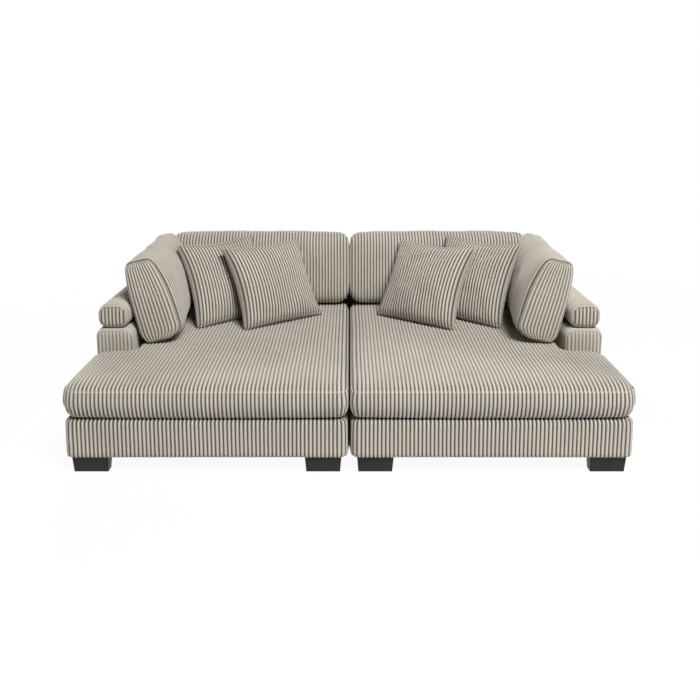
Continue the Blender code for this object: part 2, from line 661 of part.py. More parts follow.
def add_back_cushion(label, side, parent, finish, seat_plane):
    """Box cushion that stands on the seat against the back. Origin on its rear foot edge."""
    inner, outer = BACK_CUSHION_CENTRE_GAP, ARM_INNER - BACK_CUSHION_ARM_GAP
    half = (outer - inner) / 2 - BACK_CUSHION_BULGE
    corners = [
        (-half, 0, BACK_CUSHION_FOOT_RADIUS),
        (half, 0, BACK_CUSHION_FOOT_RADIUS),
        (half, BACK_CUSHION_HEIGHT, BACK_CUSHION_TOP_RADIUS),
        (-half, BACK_CUSHION_HEIGHT, BACK_CUSHION_TOP_RADIUS),
    ]
    walls = rolled_edge(BACK_CUSHION_REAR_ROLL)
    mid_wall = (BACK_CUSHION_REAR_ROLL + BACK_CUSHION_BOXING) / 2
    walls += [(-BACK_CUSHION_BULGE, mid_wall), (0, BACK_CUSHION_BOXING)]
    crowned = crown(BACK_CUSHION_SHOULDER, BACK_CUSHION_CROWN, BACK_CUSHION_BOXING)
    shape = slab(corners, walls, lambda u, v, w: (u, -w, v), crowned)
    foot = SEAT_REST - BACK_CUSHION_SINK
    place = (side * (inner + outer) / 2, back_front_at(foot) - TOUCH_GAP / math.cos(BACK_LEAN), foot)
    mesh = finish_mesh("back_cushion", shape, finish, side)
    cushion = add_object(f"back_cushion_{label}", mesh, parent, place, (-BACK_LEAN, 0, 0))
    boolean(cushion, seat_plane)


def side_cushion_share(height):
    """How much of its thickness the side cushion keeps at a height: drawn in at the top and the foot."""
    share = height / SIDE_CUSHION_HEIGHT
    middle = 4 * share * (1 - share)
    edge = SIDE_CUSHION_FOOT_SHARE + (SIDE_CUSHION_TOP_SHARE - SIDE_CUSHION_FOOT_SHARE) * share
    return edge + (1 - edge) * middle


def add_side_cushion(label, side, parent, finish, seat_plane):
    """Box cushion that leans out on the arm. Origin on its front outer foot corner."""
    radius = SIDE_CUSHION_RADIUS
    rear_reach = SIDE_CUSHION_LENGTH + SIDE_CUSHION_REAR_REACH
    rear_height = SIDE_CUSHION_HEIGHT + SIDE_CUSHION_REAR_RISE
    corners = [
        (0, 0, radius),
        (SIDE_CUSHION_LENGTH, 0, radius),
        (rear_reach, rear_height, radius),
        (0, SIDE_CUSHION_HEIGHT, radius),
    ]
    walls = rolled_edge(SIDE_CUSHION_ROLL) + [(0, SIDE_CUSHION_BOXING)]
    crowned = crown(SIDE_CUSHION_SHOULDER, SIDE_CUSHION_CROWN, SIDE_CUSHION_BOXING)
    core = SIDE_CUSHION_BOXING / 2

    def to_place(u, v, w):
        return (-core - (w - core) * side_cushion_share(v), u, v)

    shape = slab(corners, walls, to_place, crowned)
    # The outer face leans past the roll's inner side, which is widest at half its height.
    widest = ARM_TOP + TOUCH_GAP + ROLL_HEIGHT / 2
    foot = SEAT_REST - SIDE_CUSHION_SINK
    x = ROLL_INNER - SIDE_CUSHION_ARM_GAP - (widest - foot) * math.tan(SIDE_CUSHION_LEAN)
    mesh = finish_mesh("side_cushion", shape, finish, side)
    turn = (0, side * SIDE_CUSHION_LEAN, 0)
    at = (side * x, ARM_FRONT + SIDE_CUSHION_SETBACK, foot)
    cushion = add_object(f"side_cushion_{label}", mesh, parent, at, turn)
    boolean(cushion, seat_plane)


def scatter_mesh(finish):
    """Knife-edge square cushion with drawn-in sides and drawn-out corners.
    Origin in the middle of its foot edge, y up its face and z out of its front."""
    half = SCATTER_SIZE / 2
    shape = bmesh.new()
    shares = [math.sin(math.pi / 2 * (2 * k / SCATTER_STEPS - 1)) for k in range(SCATTER_STEPS + 1)]
    faces = []
    for hand in (1, -1):
        grid = {}
        for i, u in enumerate(shares):
            for j, v in enumerate(shares):
                rim = i in (0, SCATTER_STEPS) or j in (0, SCATTER_STEPS)
                if rim and faces:
                    grid[i, j] = faces[0][i, j]
                    continue
                x = u * (half - SCATTER_PINCH * (1 - v * v))
                y = v * (half - SCATTER_PINCH * (1 - u * u))
                swell = 0 if rim else ((1 - u * u) * (1 - v * v)) ** SCATTER_FULLNESS
                grid[i, j] = shape.verts.new((x, half + y, hand * swell * SCATTER_THICKNESS / 2))
        faces.append(grid)
        for i in range(SCATTER_STEPS):
            for j in range(SCATTER_STEPS):
                shape.faces.new((grid[i, j], grid[i + 1, j], grid[i + 1, j + 1], grid[i, j + 1]))
    return finish_mesh("scatter_cushion", shape, finish)


def add_scatter_cushion(name, side, parent, mesh, spot, turn, lean, seat_plane):
    """Stands on its foot edge, turned toward the middle and leaning back."""
    x, y = spot
    place = (side * x, y, SEAT_REST - SCATTER_SINK)
    cushion = add_object(name, mesh, parent, place, (math.pi / 2 - lean, 0, -side * turn))
    boolean(cushion, seat_plane)


def extruded(profile, front, rear):
    """A solid from a side view in (x, z), anticlockwise, carried from front to rear."""
    return loft([[(x, y, z) for x, z in profile] for y in (front, rear)])


def add_couplings(parents, finish):
    """Under the inner sides: a plate with a stepped tongue on the left chaise, open jaws on the right."""
    top = BASE_BOTTOM - TOUCH_GAP
    plate, near = COUPLING_PLATE, COUPLING_EDGE
    far = near + COUPLING_SCREW_LAND
    tongue_top = top - plate - SLIDE_GAP
    tongue_foot = tongue_top - plate
    jaw_foot = tongue_foot - SLIDE_GAP - plate
    mouth = near - COUPLING_FLARE_LENGTH
    throat = COUPLING_REACH + SLIDE_GAP
    tongue = [
        (-far, top - plate),
        (-near, top - plate),
        (-near, tongue_foot),
        (COUPLING_REACH, tongue_foot),
        (COUPLING_REACH, tongue_top),
        (-near + plate, tongue_top),
        (-near + plate, top),
        (-far, top),
    ]
    jaws = [
        (mouth, jaw_foot - COUPLING_FLARE),
        (near, jaw_foot),
        (throat + plate, jaw_foot),
        (throat + plate, top - plate),
        (far, top - plate),
        (far, top),
        (mouth, top),
        (mouth, top - plate + SLIDE_GAP / 2),
        (near, tongue_top + SLIDE_GAP),
        (throat, tongue_top + SLIDE_GAP),
        (throat, tongue_foot - SLIDE_GAP),
        (near, tongue_foot - SLIDE_GAP),
        (mouth, tongue_foot - SLIDE_GAP - COUPLING_FLARE),
    ]
    halves = (("tongue", tongue, parents["left"]), ("jaws", jaws, parents["right"]))
    middles = (("front", BASE_FRONT + COUPLING_FRONT_INSET), ("rear", BASE_REAR - COUPLING_REAR_INSET))
    for place, middle in middles:
        front, rear = middle - COUPLING_WIDTH / 2, middle + COUPLING_WIDTH / 2
        for name, profile, parent in halves:
            mesh = finish_mesh(name, extruded(profile, front, rear), finish)
            add_object(f"coupling_{name}_{place}", mesh, parent, smooth=False)


def add_seat_plane():
    """Hidden block under the plane that cushions stand on: it cuts them flat where they rest."""
    reach = OUTER_SIDE + SEAT_SIDE_OVERHANG + CUT_OVERRUN
    half_depth = OVERALL_DEPTH / 2 + CUT_OVERRUN
    low, high = (-reach, -half_depth, SEAT_FOOT), (reach, half_depth, SEAT_REST)
    return hidden(add_object("seat_plane", finish_mesh("seat_plane", boxes((low, high))), smooth=False))


def add_empty(name, parent=None):
    empty = bpy.data.objects.new(name, None)
    bpy.context.scene.collection.objects.link(empty)
    empty.parent = parent
    return empty


def build():
    clear_scene()
    corduroy = material("corduroy", (0.46, 0.42, 0.36), 0.9)
    black_wood = material("black_wood", (0.030, 0.034, 0.028), 0.55)
    timber = material("timber", (0.55, 0.42, 0.28), 0.8)
    felt = material("felt", (0.20, 0.20, 0.20), 0.95)
    dust_cloth = material("dust_cloth", (0.015, 0.015, 0.016), 0.9)
    spring_steel = material("spring_steel", (0.20, 0.20, 0.21), 0.4, 1.0)
    zinc_steel = material("zinc_steel", (0.62, 0.62, 0.60), 0.35, 1.0)

    foot, bolt = foot_mesh(black_wood), bolt_mesh(zinc_steel)
    spring = spring_mesh(spring_steel)
    scatter = scatter_mesh(corduroy)
    front_spot = (FRONT_SCATTER_FROM_MIDDLE, BACK_FRONT - FRONT_SCATTER_FROM_BACK)
    rear_spot = (ARM_INNER - REAR_SCATTER_FROM_ARM, BACK_FRONT - REAR_SCATTER_FROM_BACK)
    seat_plane = add_seat_plane()
    bodies = {}
    for label, side in (("left", -1), ("right", 1)):
        chaise = bodies[label] = add_empty(f"chaise_{label}")
        drills = bolt_drills(label, side)
        add_base_cover(label, side, chaise, corduroy, drills)
        add_base_frame(label, side, chaise, timber, drills)
        add_springs(label, side, chaise, spring)
        add_deck_pad(label, side, chaise, felt)
        add_dust_cover(label, side, chaise, dust_cloth)
        add_feet(label, side, chaise, foot, bolt)
        add_arm(label, side, chaise, corduroy, timber)
        add_back(label, side, chaise, corduroy, timber)
        seat = add_empty(f"seat_{label}", chaise)
        add_seat_cushion(label, side, seat, corduroy)
        add_back_cushion(label, side, seat, corduroy, seat_plane)
        add_side_cushion(label, side, seat, corduroy, seat_plane)
        for name, spot, turn, lean in (
            ("front", front_spot, FRONT_SCATTER_TURN, FRONT_SCATTER_LEAN),
            ("rear", rear_spot, REAR_SCATTER_TURN, REAR_SCATTER_LEAN),
        ):
            full_name = f"scatter_cushion_{name}_{label}"
            add_scatter_cushion(full_name, side, seat, scatter, spot, turn, lean, seat_plane)
    add_couplings(bodies, zinc_steel)


build()
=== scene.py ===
"""Looks of the two-piece chaise longue: wide-wale corduroy over padded cushions, arms, backs and bases.

Each upholstered piece is first a few coarse panels, sewn along shared edges and blown up as cloth. The panels
are then made fine, with one raised rib every 18.5 mm. Pieces are worked out for the right chaise, where x
runs outward from the middle of the pair, and mirrored for the left one.
"""

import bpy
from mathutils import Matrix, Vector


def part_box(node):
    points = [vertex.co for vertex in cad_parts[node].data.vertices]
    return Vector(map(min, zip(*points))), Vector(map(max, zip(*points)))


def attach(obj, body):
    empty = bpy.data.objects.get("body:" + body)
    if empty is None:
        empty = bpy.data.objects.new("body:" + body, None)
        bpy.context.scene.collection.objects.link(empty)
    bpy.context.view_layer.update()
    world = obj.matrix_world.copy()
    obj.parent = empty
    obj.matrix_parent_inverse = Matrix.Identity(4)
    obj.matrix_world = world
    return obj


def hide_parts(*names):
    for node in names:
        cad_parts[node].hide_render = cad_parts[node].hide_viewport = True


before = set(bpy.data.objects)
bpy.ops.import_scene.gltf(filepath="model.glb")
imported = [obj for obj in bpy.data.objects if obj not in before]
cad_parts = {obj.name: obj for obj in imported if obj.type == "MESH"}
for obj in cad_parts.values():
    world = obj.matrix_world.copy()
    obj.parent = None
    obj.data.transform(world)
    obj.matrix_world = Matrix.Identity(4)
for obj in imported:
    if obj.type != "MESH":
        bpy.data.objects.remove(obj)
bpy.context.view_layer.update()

import copy
import math

import bpy
import numpy as np
from mathutils import Euler, Vector

# Ribs
RIB_PITCH = 0.0185
RIB_DEPTH = 0.0052
RIB_PHASES = np.array((0.0, 0.12, 0.27, 0.50, 0.73, 0.88))  # columns within one rib, the first in the valley
RIB_PROFILE = np.array((0.0, 0.25, 0.82, 1.0, 0.82, 0.25))  # rib height at each of them
RIB_WOBBLE = 0.0012
RIB_WAVES = 4, (2, 9), 2  # count, least and most radians in a metre, how much closer they lie lengthwise
COLUMN_MARGIN = RIB_PITCH / 15  # from a column to the side of its panel
FREE_COLUMNS = 9  # columns in a rib's width where the ribs run across them
RAISE = 0.0062  # what ribs and padding add to a coarse panel

# Colours of the pile, from the valley between two ribs up to the crest, and of the light on it. The two dark
# valley colours are partly the thin ground weave and partly painted shade in the grooves
VALLEY_WEAVE_AND_SHADE = (0.055, 0.047, 0.037)
GROOVE_WEAVE_AND_SHADE = (0.160, 0.140, 0.114)
FLANK = (0.510, 0.470, 0.405)
CREST = (0.600, 0.558, 0.487)
SHEEN_TINT = (1.0, 0.97, 0.92, 1.0)

# Seams
PLAIN, SUNK, WELTED, FLUSH = range(4)  # kinds of seam along the side of a panel: plain is none at all
GRID_SIDES = np.s_[0], np.s_[-1], np.s_[:, 0], np.s_[:, -1]  # of a panel, in the order of its seams
SEAM_SINK = 0.0018  # how far a seam lies below the fabric beside it
SEAM_REACH = 0.006
SEAM_RIB_SHARE = 0.35  # rib height that is left at a seam
SEAM_SHADE_LIGHTNESS = 0.6  # painted shade: lightness that is left at a sunk seam
SEAM_ROWS, ROW_MARGIN = (0.003, 0.008), 0.004
WELT_RADIUS, WELT_SIDES, WELT_LIGHT = 0.0014, 6, 0.9
FLUSH_DIP = 0.30  # share of the rib height lost at a seam that the ribs run across
FLUSH_REACH, FLUSH_WIDTH, FLUSH_LIGHT = 0.004, 0.001, 0.85
PAINTED_FILL_REACH = 0.05  # from such a seam to where the valleys are painted lighter, as light falls straight into them
HEM_DEPTH, HEM_WIDTH, HEM_SHADE = 0.002, 0.005, 0.25
DENT_MARGIN = 0.06  # from the edge of a face to its dents
DENT_WAVES = 6, (12, 34)

# Padding
CROWN_FULLNESS = 0.6

# Clearances
TOUCH = 0.0006
SPARE = 0.004  # how far fabric may stand out of its solid
PAIR_GAP = 0.001  # from the middle of the pair to the fabric of either chaise, where they touch
FOOT_SINK = 0.010  # how far a standing cushion is pressed flat on the seat

# Places from the frame, on the right chaise
base_low, base_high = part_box("base_cover_right")
seat_low, seat_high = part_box("seat_cushion_right")
arm_low, arm_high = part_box("arm_cover_right")
roll_low, roll_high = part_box("arm_roll_right")
back_low, back_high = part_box("back_cover_right")
cushion_low, cushion_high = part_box("back_cushion_right")
SEAT_PLANE = seat_high.z + TOUCH


# Numbers
def crown(share):
    """Height share of a padded face at a share of its shoulder: steep at the seam, level further in."""
    inside = 1 - np.clip(share, 0, 1)
    return (1 - inside**2) ** CROWN_FULLNESS


def near(distance, reach):
    """One at a seam or an edge, and nothing well away from it."""
    return np.exp(-((distance / reach) ** 2))


def arc_drop(distance, radius):
    """How far a rounded corner falls back at a distance from its side."""
    reach = radius - np.clip(distance, 0, radius)
    return radius - np.sqrt(np.maximum(radius**2 - reach**2, 0))


def arc_nodes(start, radius, steps=4):
    """Distances that sample a rounded corner from its side inward. A negative radius runs the other way."""
    angles = np.linspace(0, math.pi / 2, steps + 1)
    return start + radius * (1 - np.cos(angles))


def even(start, end, step):
    """Evenly spaced values strictly between two."""
    return np.linspace(start, end, max(round((end - start) / step), 1) + 1)[1:-1]


def unit(vectors):
    """The same directions at length one."""
    return vectors / np.maximum(np.linalg.norm(vectors, axis=-1, keepdims=True), 1e-12)


def lengths(points):
    """Running length along a line of points."""
    return np.concatenate([[0], np.cumsum(np.linalg.norm(np.diff(points, axis=0), axis=1))])


def spline(nodes, queries):
    """Weights that turn values at the nodes into values at the queries, on a smooth curve through them."""
    count, gap = len(nodes), np.diff(nodes)
    slope = np.zeros((count, count))
    for i in range(1, count - 1):
        before, after = gap[i - 1], gap[i]
        both = before + after
        slope[i, i - 1 : i + 2] = (-after / (before * both), (after - before) / (before * after),
                                   before / (after * both))
    slope[0, :2] = -1 / gap[0], 1 / gap[0]
    slope[-1, -2:] = -1 / gap[-1], 1 / gap[-1]
    cell = np.clip(np.searchsorted(nodes, queries, side="right") - 1, 0, count - 2)
    width, rows = gap[cell], np.arange(len(queries))
    t = (queries - nodes[cell]) / width
    weights = np.zeros((len(queries), count))
    weights[rows, cell] += 2 * t**3 - 3 * t**2 + 1
    weights[rows, cell + 1] += 3 * t**2 - 2 * t**3
    weights += ((t**3 - 2 * t**2 + t) * width)[:, None] * slope[cell]
    weights += ((t**3 - t**2) * width)[:, None] * slope[cell + 1]
    return weights


def rib_height(distance):
    """Share of the rib's depth at a distance across the ribs."""
    return np.interp(distance / RIB_PITCH % 1, np.append(RIB_PHASES, 1), np.append(RIB_PROFILE, 0))


def rib_columns(start, end):
    """Distances of the columns that draw each rib between two sides."""
    ribs = np.arange(math.floor(start / RIB_PITCH), math.ceil(end / RIB_PITCH))
    columns = ((ribs[:, None] + RIB_PHASES) * RIB_PITCH).ravel()
    inside = (columns > start + COLUMN_MARGIN) & (columns < end - COLUMN_MARGIN)
    return np.concatenate([[start], columns[inside], [end]])


def fine_rows(start, end, step, hem=None):
    """Distances of the rows along the ribs, closer together at the seams and at a hem."""
    inner = np.linspace(start, end, max(round((end - start) / step), 2) + 1)
    close = SEAM_ROWS if hem is None else SEAM_ROWS + (hem - HEM_WIDTH, hem, hem + HEM_WIDTH)
    if end - start < 4 * close[-1]:
        return inner
    near = [start + row for row in close] + [end - row for row in close]
    margin = close[-1] + ROW_MARGIN
    kept = [row for row in inner[1:-1] if start + margin < row < end - margin]
    return np.sort(np.concatenate([[start, end], near, kept]))


# Coarse panels
class Panel:
    """A coarse grid of points, with its distances across the ribs (first index) and along them (second)."""

    def __init__(self, grid, across, along, step, seams=(SUNK,) * 4, ribs="columns"):
        self.grid, self.across, self.along = grid, across, along
        self.step, self.seams, self.ribs = step, seams, ribs
        self.corner = None  # (across, along) beyond which an L-shaped panel is cut out
        self.fade = None  # share of the rib height at each coarse row
        self.open = None  # how far the valleys open at each coarse row, where the fabric bends over an edge; their painted shade widens with them, standing in for the shade under the seat's rolled foot and on the base's lip
        self.fill = 0.0  # painted light: how much lighter the valleys are painted, where light falls straight into them
        self.hem = None  # distance of a crease from the seams
        self.dents = 0.0  # how deep its dents are, away from its edges
        self.axis = np.zeros(3)  # direction across ribs that run free of the columns
        self.pinned = np.full(grid.shape[:2], ribs == "plain")
        for seam, side in zip(seams, GRID_SIDES):
            self.pinned[side] |= seam != PLAIN

    def mirrored(self):
        twin = copy.copy(self)
        twin.grid, twin.axis = self.grid * (-1, 1, 1), self.axis * (-1, 1, 1)
        return twin

    def cut(self, across, along):
        """Whether each cell between these distances belongs to the cut-out corner."""
        if self.corner is None:
            return np.zeros((len(across) - 1, len(along) - 1), bool)
        beyond_across = (across[:-1] + across[1:]) / 2 > self.corner[0]
        beyond_along = (along[:-1] + along[1:]) / 2 > self.corner[1]
        return beyond_across[:, None] & beyond_along[None]


def plain_panel(grid, across, along):
    """A panel without ribs or seams, which the cloth doesn't move."""
    return Panel(grid, across, along, None, (PLAIN,) * 4, "plain")


def cells(shape, start):
    """Quads over a grid of points, as indices."""
    index = np.arange(start, start + shape[0] * shape[1]).reshape(shape[:2])
    return np.stack([index[:-1, :-1], index[1:, :-1], index[1:, 1:], index[:-1, 1:]], -1)


def shared_out(panels, values):
    """Pairs of each panel and its own part of values that hold one for each coarse point."""
    start = 0
    for panel in panels:
        end = start + panel.pinned.size
        yield panel, values[start:end].reshape(panel.grid.shape)
        start = end


def make_mesh(name, points, quads):
    mesh = bpy.data.meshes.new(name)
    mesh.vertices.add(len(points))
    mesh.vertices.foreach_set("co", np.asarray(points, np.float32).ravel())
    mesh.loops.add(quads.size)
    mesh.loops.foreach_set("vertex_index", quads.ravel().astype(np.int32))
    mesh.polygons.add(len(quads))
    mesh.polygons.foreach_set("loop_start", np.arange(0, quads.size, 4, dtype=np.int32))
    mesh.update(calc_edges=True)
    mesh.validate()
    return mesh


def make_object(name, data, material=None):
    obj = bpy.data.objects.new(name, data)
    bpy.context.scene.collection.objects.link(obj)
    if material:
        data.materials.append(material)
    return obj


# Cloth
CLOTH_FRAMES = 20


def sewn_quads(panels, points):
    """Quads over all the panels, facing outward."""
    centre = points.mean(0)
    quads, start = [], 0
    for panel in panels:
        made = cells(panel.grid.shape, start)[~panel.cut(panel.across, panel.along)]
        start += panel.pinned.size
        corners = points[made]
        facing = np.cross(corners[:, 2] - corners[:, 0], corners[:, 3] - corners[:, 1])
        outward = np.sum(facing * (corners.mean(1) - centre)) > 0
        quads.append(made if outward else made[:, ::-1])
    return np.concatenate(quads)


def blown_points(mesh, held, pressure):
    """Where the points of a cloth end when it is blown up with some of them held."""
    cloth = make_object("cloth", mesh)
    cloth.vertex_groups.new(name="held").add(held, 1.0, "REPLACE")
    modifier = cloth.modifiers.new("cloth", "CLOTH")
    settings = modifier.settings
    settings.quality = 5
    settings.tension_stiffness = settings.compression_stiffness = 40
    settings.shear_stiffness = 20
    settings.use_pressure = True
    settings.uniform_pressure_force = pressure
    settings.vertex_group_mass = "held"
    settings.effector_weights.gravity = 0
    modifier.collision_settings.use_collision = False
    scene = bpy.context.scene
    for number in range(1, CLOTH_FRAMES + 1):
        scene.frame_set(number)
    blown = cloth.evaluated_get(bpy.context.evaluated_depsgraph_get()).to_mesh()
    ends = np.empty(len(mesh.vertices) * 3, np.float32)
    blown.vertices.foreach_get("co", ends)
    bpy.data.objects.remove(cloth)
    bpy.data.meshes.remove(mesh)
    scene.frame_set(1)
    return ends.reshape(-1, 3)


def inflate(panels, pressure, cap):
    """Sews the panels into one cloth, blows it up and moves their points with it, by no more than the cap."""
    points = np.concatenate([panel.grid.reshape(-1, 3) for panel in panels])
    pinned = np.concatenate([panel.pinned.ravel() for panel in panels])
    _, first, index = np.unique(np.round(points, 5), axis=0, return_index=True, return_inverse=True)
    index = index.reshape(-1)
    quads = index[sewn_quads(panels, points)]
    used = np.unique(quads)
    place = np.full(len(first), -1)
    place[used] = np.arange(len(used))
    held = np.zeros(len(first), bool)
    np.logical_or.at(held, index, pinned)
    starts = points[first][used]
    mesh = make_mesh("cloth", starts, place[quads])
    ends = blown_points(mesh, np.nonzero(held[used])[0].tolist(), pressure)
    moved = np.zeros((len(first), 3))
    moved[used] = ends - starts
    reach = np.linalg.norm(moved, axis=1)
    moved *= np.minimum(1, cap / np.maximum(reach, 1e-9))[:, None]
    for panel, step in shared_out(panels, moved[index]):
        panel.grid += step


# Fine fabric
def waves(random, across, along, count, turns, lengthwise=1):
    """The sum of some random waves over a panel."""
    total = np.zeros((len(across), len(along)))
    for _ in range(count):
        turn = random.uniform(*turns, 2)
        start = random.uniform(0, math.tau, 2)
        total += (np.sin(turn[0] * across[:, None] + start[0])
                  * np.sin(lengthwise * turn[1] * along[None] + start[1]))
    return total


def side_distances(across, along):
    """How far each fine point lies from the sides of its panel, in the order of its seams."""
    return ((across - across[0])[:, None], (across[-1] - across)[:, None],
            (along - along[0])[None], (along[-1] - along)[None])


def dents(random, across, along):
    """Shallow dents in a stuffed face, from 0 to 1, which fade out at its edges."""
    left, right, front, rear = side_distances(across, along)
    edge = np.minimum(np.minimum(left, right), np.minimum(front, rear))
    return (0.5 + waves(random, across, along, *DENT_WAVES) / 2).clip(0, 1) * (1 - near(edge, DENT_MARGIN))


def coarse_normals(panels, centre):
    """Outward normals on the coarse panels, the same on both sides of a shared edge."""
    normals = []
    for panel in panels:
        normal = unit(np.cross(np.gradient(panel.grid, axis=0), np.gradient(panel.grid, axis=1)))
        panel.turned = bool(np.sum(normal * (panel.grid - centre)) < 0)
        normals.append((-normal if panel.turned else normal).reshape(-1, 3))
    points = np.concatenate([panel.grid.reshape(-1, 3) for panel in panels])
    _, index = np.unique(np.round(points, 4), axis=0, return_inverse=True)
    index = index.reshape(-1)
    total = np.zeros((index.max() + 1, 3))
    np.add.at(total, index, np.concatenate(normals))
    for panel, shared in shared_out(panels, total[index]):
        panel.normals = unit(shared)


def fine_distances(panel):
    """Distances of the fine columns and rows of a panel."""
    across, along = panel.across, panel.along
    first, last = across[0], across[-1]
    if panel.ribs != "plain":
        along = fine_rows(along[0], along[-1], panel.step, panel.hem)
        across = rib_columns(first, last)
    if panel.ribs == "free":
        across = np.linspace(first, last, round((last - first) / RIB_PITCH * FREE_COLUMNS) + 1)
    if panel.corner is not None:
        across = np.unique(np.append(across, panel.corner[0]))
        along = np.unique(np.append(along, panel.corner[1]))
    return across, along


def seam_distances(panel, across, along):
    """Distance of each fine point from the nearest seam, and from the nearest that the ribs run across."""
    away, flush = np.full((2, len(across), len(along)), 1.0)
    for seam, distance in zip(panel.seams, side_distances(across, along)):
        if seam == FLUSH:
            flush = np.minimum(flush, distance)
        elif seam != PLAIN:
            away = np.minimum(away, distance)
    return away, flush


def relief(panel, where, rows, away, flush, hollow):
    """How far the ribs stand out at each fine point, and how light they are painted there, with painted shade
    down the valleys and in the hem crease.
    """
    clear = 1 - near(away, SEAM_REACH)
    rib = rib_height(where)
    # widens the valleys in the relief and their painted shade with them: partly the pile spreading where the
    # fabric bends, partly painted shade under an overhang
    if panel.open is not None:
        rib = rib ** (1 + (rows @ panel.open).clip(0))[None]
    lift = SEAM_SINK * clear + RIB_DEPTH * rib * (SEAM_RIB_SHARE + (1 - SEAM_RIB_SHARE) * clear)
    lift *= 1 - FLUSH_DIP * near(flush, FLUSH_REACH)
    if panel.hem is not None:
        crease = near(away - panel.hem, HEM_WIDTH)
        lift -= HEM_DEPTH * crease
        rib = rib * (1 - HEM_SHADE * crease)
    lift -= panel.dents * hollow
    light = np.where(flush < FLUSH_WIDTH, np.maximum(rib, FLUSH_LIGHT), rib)
    if panel.fade is not None:
        lift = lift * (rows @ panel.fade).clip(0, 1)[None]
    return lift, light


def fine_panel(panel, random):
    """Fine points, their normals, how light each is, the plain points below them, and the cells cut out."""
    across, along = fine_distances(panel)
    by_across, by_along = spline(panel.across, across), spline(panel.along, along)
    points = np.einsum("ia,abk,jb->ijk", by_across, panel.grid, by_along, optimize=True)
    normal = unit(np.einsum("ia,abk,jb->ijk", by_across, panel.normals, by_along, optimize=True))
    away, flush = seam_distances(panel, across, along)
    clear = 1 - near(away, SEAM_REACH)
    if panel.ribs == "plain":
        lift, light = np.zeros(away.shape), np.full(away.shape, 0.5)
    else:
        where = across[:, None] + np.zeros(len(along))[None]
        if panel.ribs == "free":
            where = np.sum((points - points[:1].mean(1, keepdims=True)) * panel.axis, axis=2)
        hollow = dents(random, across, along) if panel.dents else 0.0
        lift, light = relief(panel, where, by_along, away, flush, hollow)
        drift = unit(np.gradient(points, axis=0))
        sideways = RIB_WOBBLE * clear * (waves(random, across, along, *RIB_WAVES) / 2)
        points = points + drift * sideways[..., None]
    # painted light lifts the valleys where light falls straight into them, fading out near flush seams
    fill = panel.fill * (1 - near(flush, PAINTED_FILL_REACH))
    # painted shade darkens the pile towards each sunk seam
    light = fill + (1 - fill) * light * (SEAM_SHADE_LIGHTNESS + (1 - SEAM_SHADE_LIGHTNESS) * clear)
    return points + normal * lift[..., None], normal, light, points, panel.cut(across, along)


def welt(line, normal):
    """A thin sewn ridge along a seam line."""
    middle = line + normal * WELT_RADIUS
    beside = np.cross(unit(np.gradient(middle, axis=0)), normal)
    angles = np.linspace(0, math.tau, WELT_SIDES, endpoint=False)
    ring = [middle + WELT_RADIUS * (math.cos(a) * normal + math.sin(a) * beside) for a in angles]
    return np.stack(ring + ring[:1], 1)


def fabric_grids(panels, random):
    """Each grid of a piece, its lightness, whether its quads face inward, and which of them are cut out."""
    for panel in panels:
        lifted, normal, light, plain, gone = fine_panel(panel, random)
        yield lifted, light, panel.turned, gone
        for seam, side in zip(panel.seams, GRID_SIDES):
            if seam == WELTED:
                kept = len(plain[side]) - np.count_nonzero(gone[side])
                tube = welt(plain[side][:kept], normal[side][:kept])
                yield tube, np.full(tube.shape[:2], WELT_LIGHT), True, np.zeros((kept - 1, WELT_SIDES), bool)


def make_fabric(name, panels, material, seed, floor=None):
    """One object from its coarse panels: ribs, sunk seams and a welt along each seam that has one."""
    coarse_normals(panels, np.mean([panel.grid.reshape(-1, 3).mean(0) for panel in panels], axis=0))
    points, quads, lights, count = [], [], [], 0
    for grid, light, turned, gone in fabric_grids(panels, np.random.default_rng(seed)):
        made = cells(grid.shape, count)[~gone]
        points.append(grid.reshape(-1, 3))
        quads.append(made[:, ::-1] if turned else made)
        lights.append(light.ravel())
        count += light.size
    points = np.concatenate(points)
    if floor is not None:
        points[:, 2] = np.maximum(points[:, 2], floor)
    mesh = make_mesh(name, points, np.concatenate(quads))
    mesh.shade_smooth()
    # the rib attribute is the painted lightness of the pile: painted shade in the valleys, at sunk seams and
    # hem creases, and painted light in valleys where light falls straight in
    attribute = mesh.attributes.new("rib", "FLOAT", "POINT")
    attribute.data.foreach_set("value", np.concatenate(lights).astype(np.float32))
    return make_object(name, mesh, material)


# Shapes wrapped round a row of rings
FACE_SHARES = np.linspace(0, 1, 7)  # columns of a face between its left and right sides
SIDE_ROWS = 9  # rows of a face between its rounded corners


def profile_grid(left, right):
    """A face between its left and right side points, row by row: (columns, rows, 2)."""
    return left[None] + (right - left)[None] * FACE_SHARES[:, None, None]


def loop_of(grid):
    """The border of a face, anticlockwise from its low left corner, closed."""
    return np.concatenate([grid[:, 0], grid[-1, 1:], grid[-2::-1, -1], grid[0, -2::-1]])


def end_panel(face, depth, bulge, to_place, step, ribs, fill):
    """The panel that closes one end of a wrapped piece."""
    rows, columns = np.linspace(0, 1, face.shape[1])[None], FACE_SHARES[:, None]
    swell = crown(4 * rows * (1 - rows)) * crown(4 * columns * (1 - columns))
    grid = to_place(face[..., 0], face[..., 1], depth + bulge * swell)
    widest = np.abs(face[-1, :, 0] - face[0, :, 0]).max()
    panel = Panel(grid, FACE_SHARES * widest, lengths(face[len(FACE_SHARES) // 2]), step, ribs=ribs)
    panel.fill = fill
    zero, one = np.zeros(1), np.ones(1)
    panel.axis = (to_place(one, zero, zero) - to_place(zero, zero, zero)).reshape(3)
    return panel


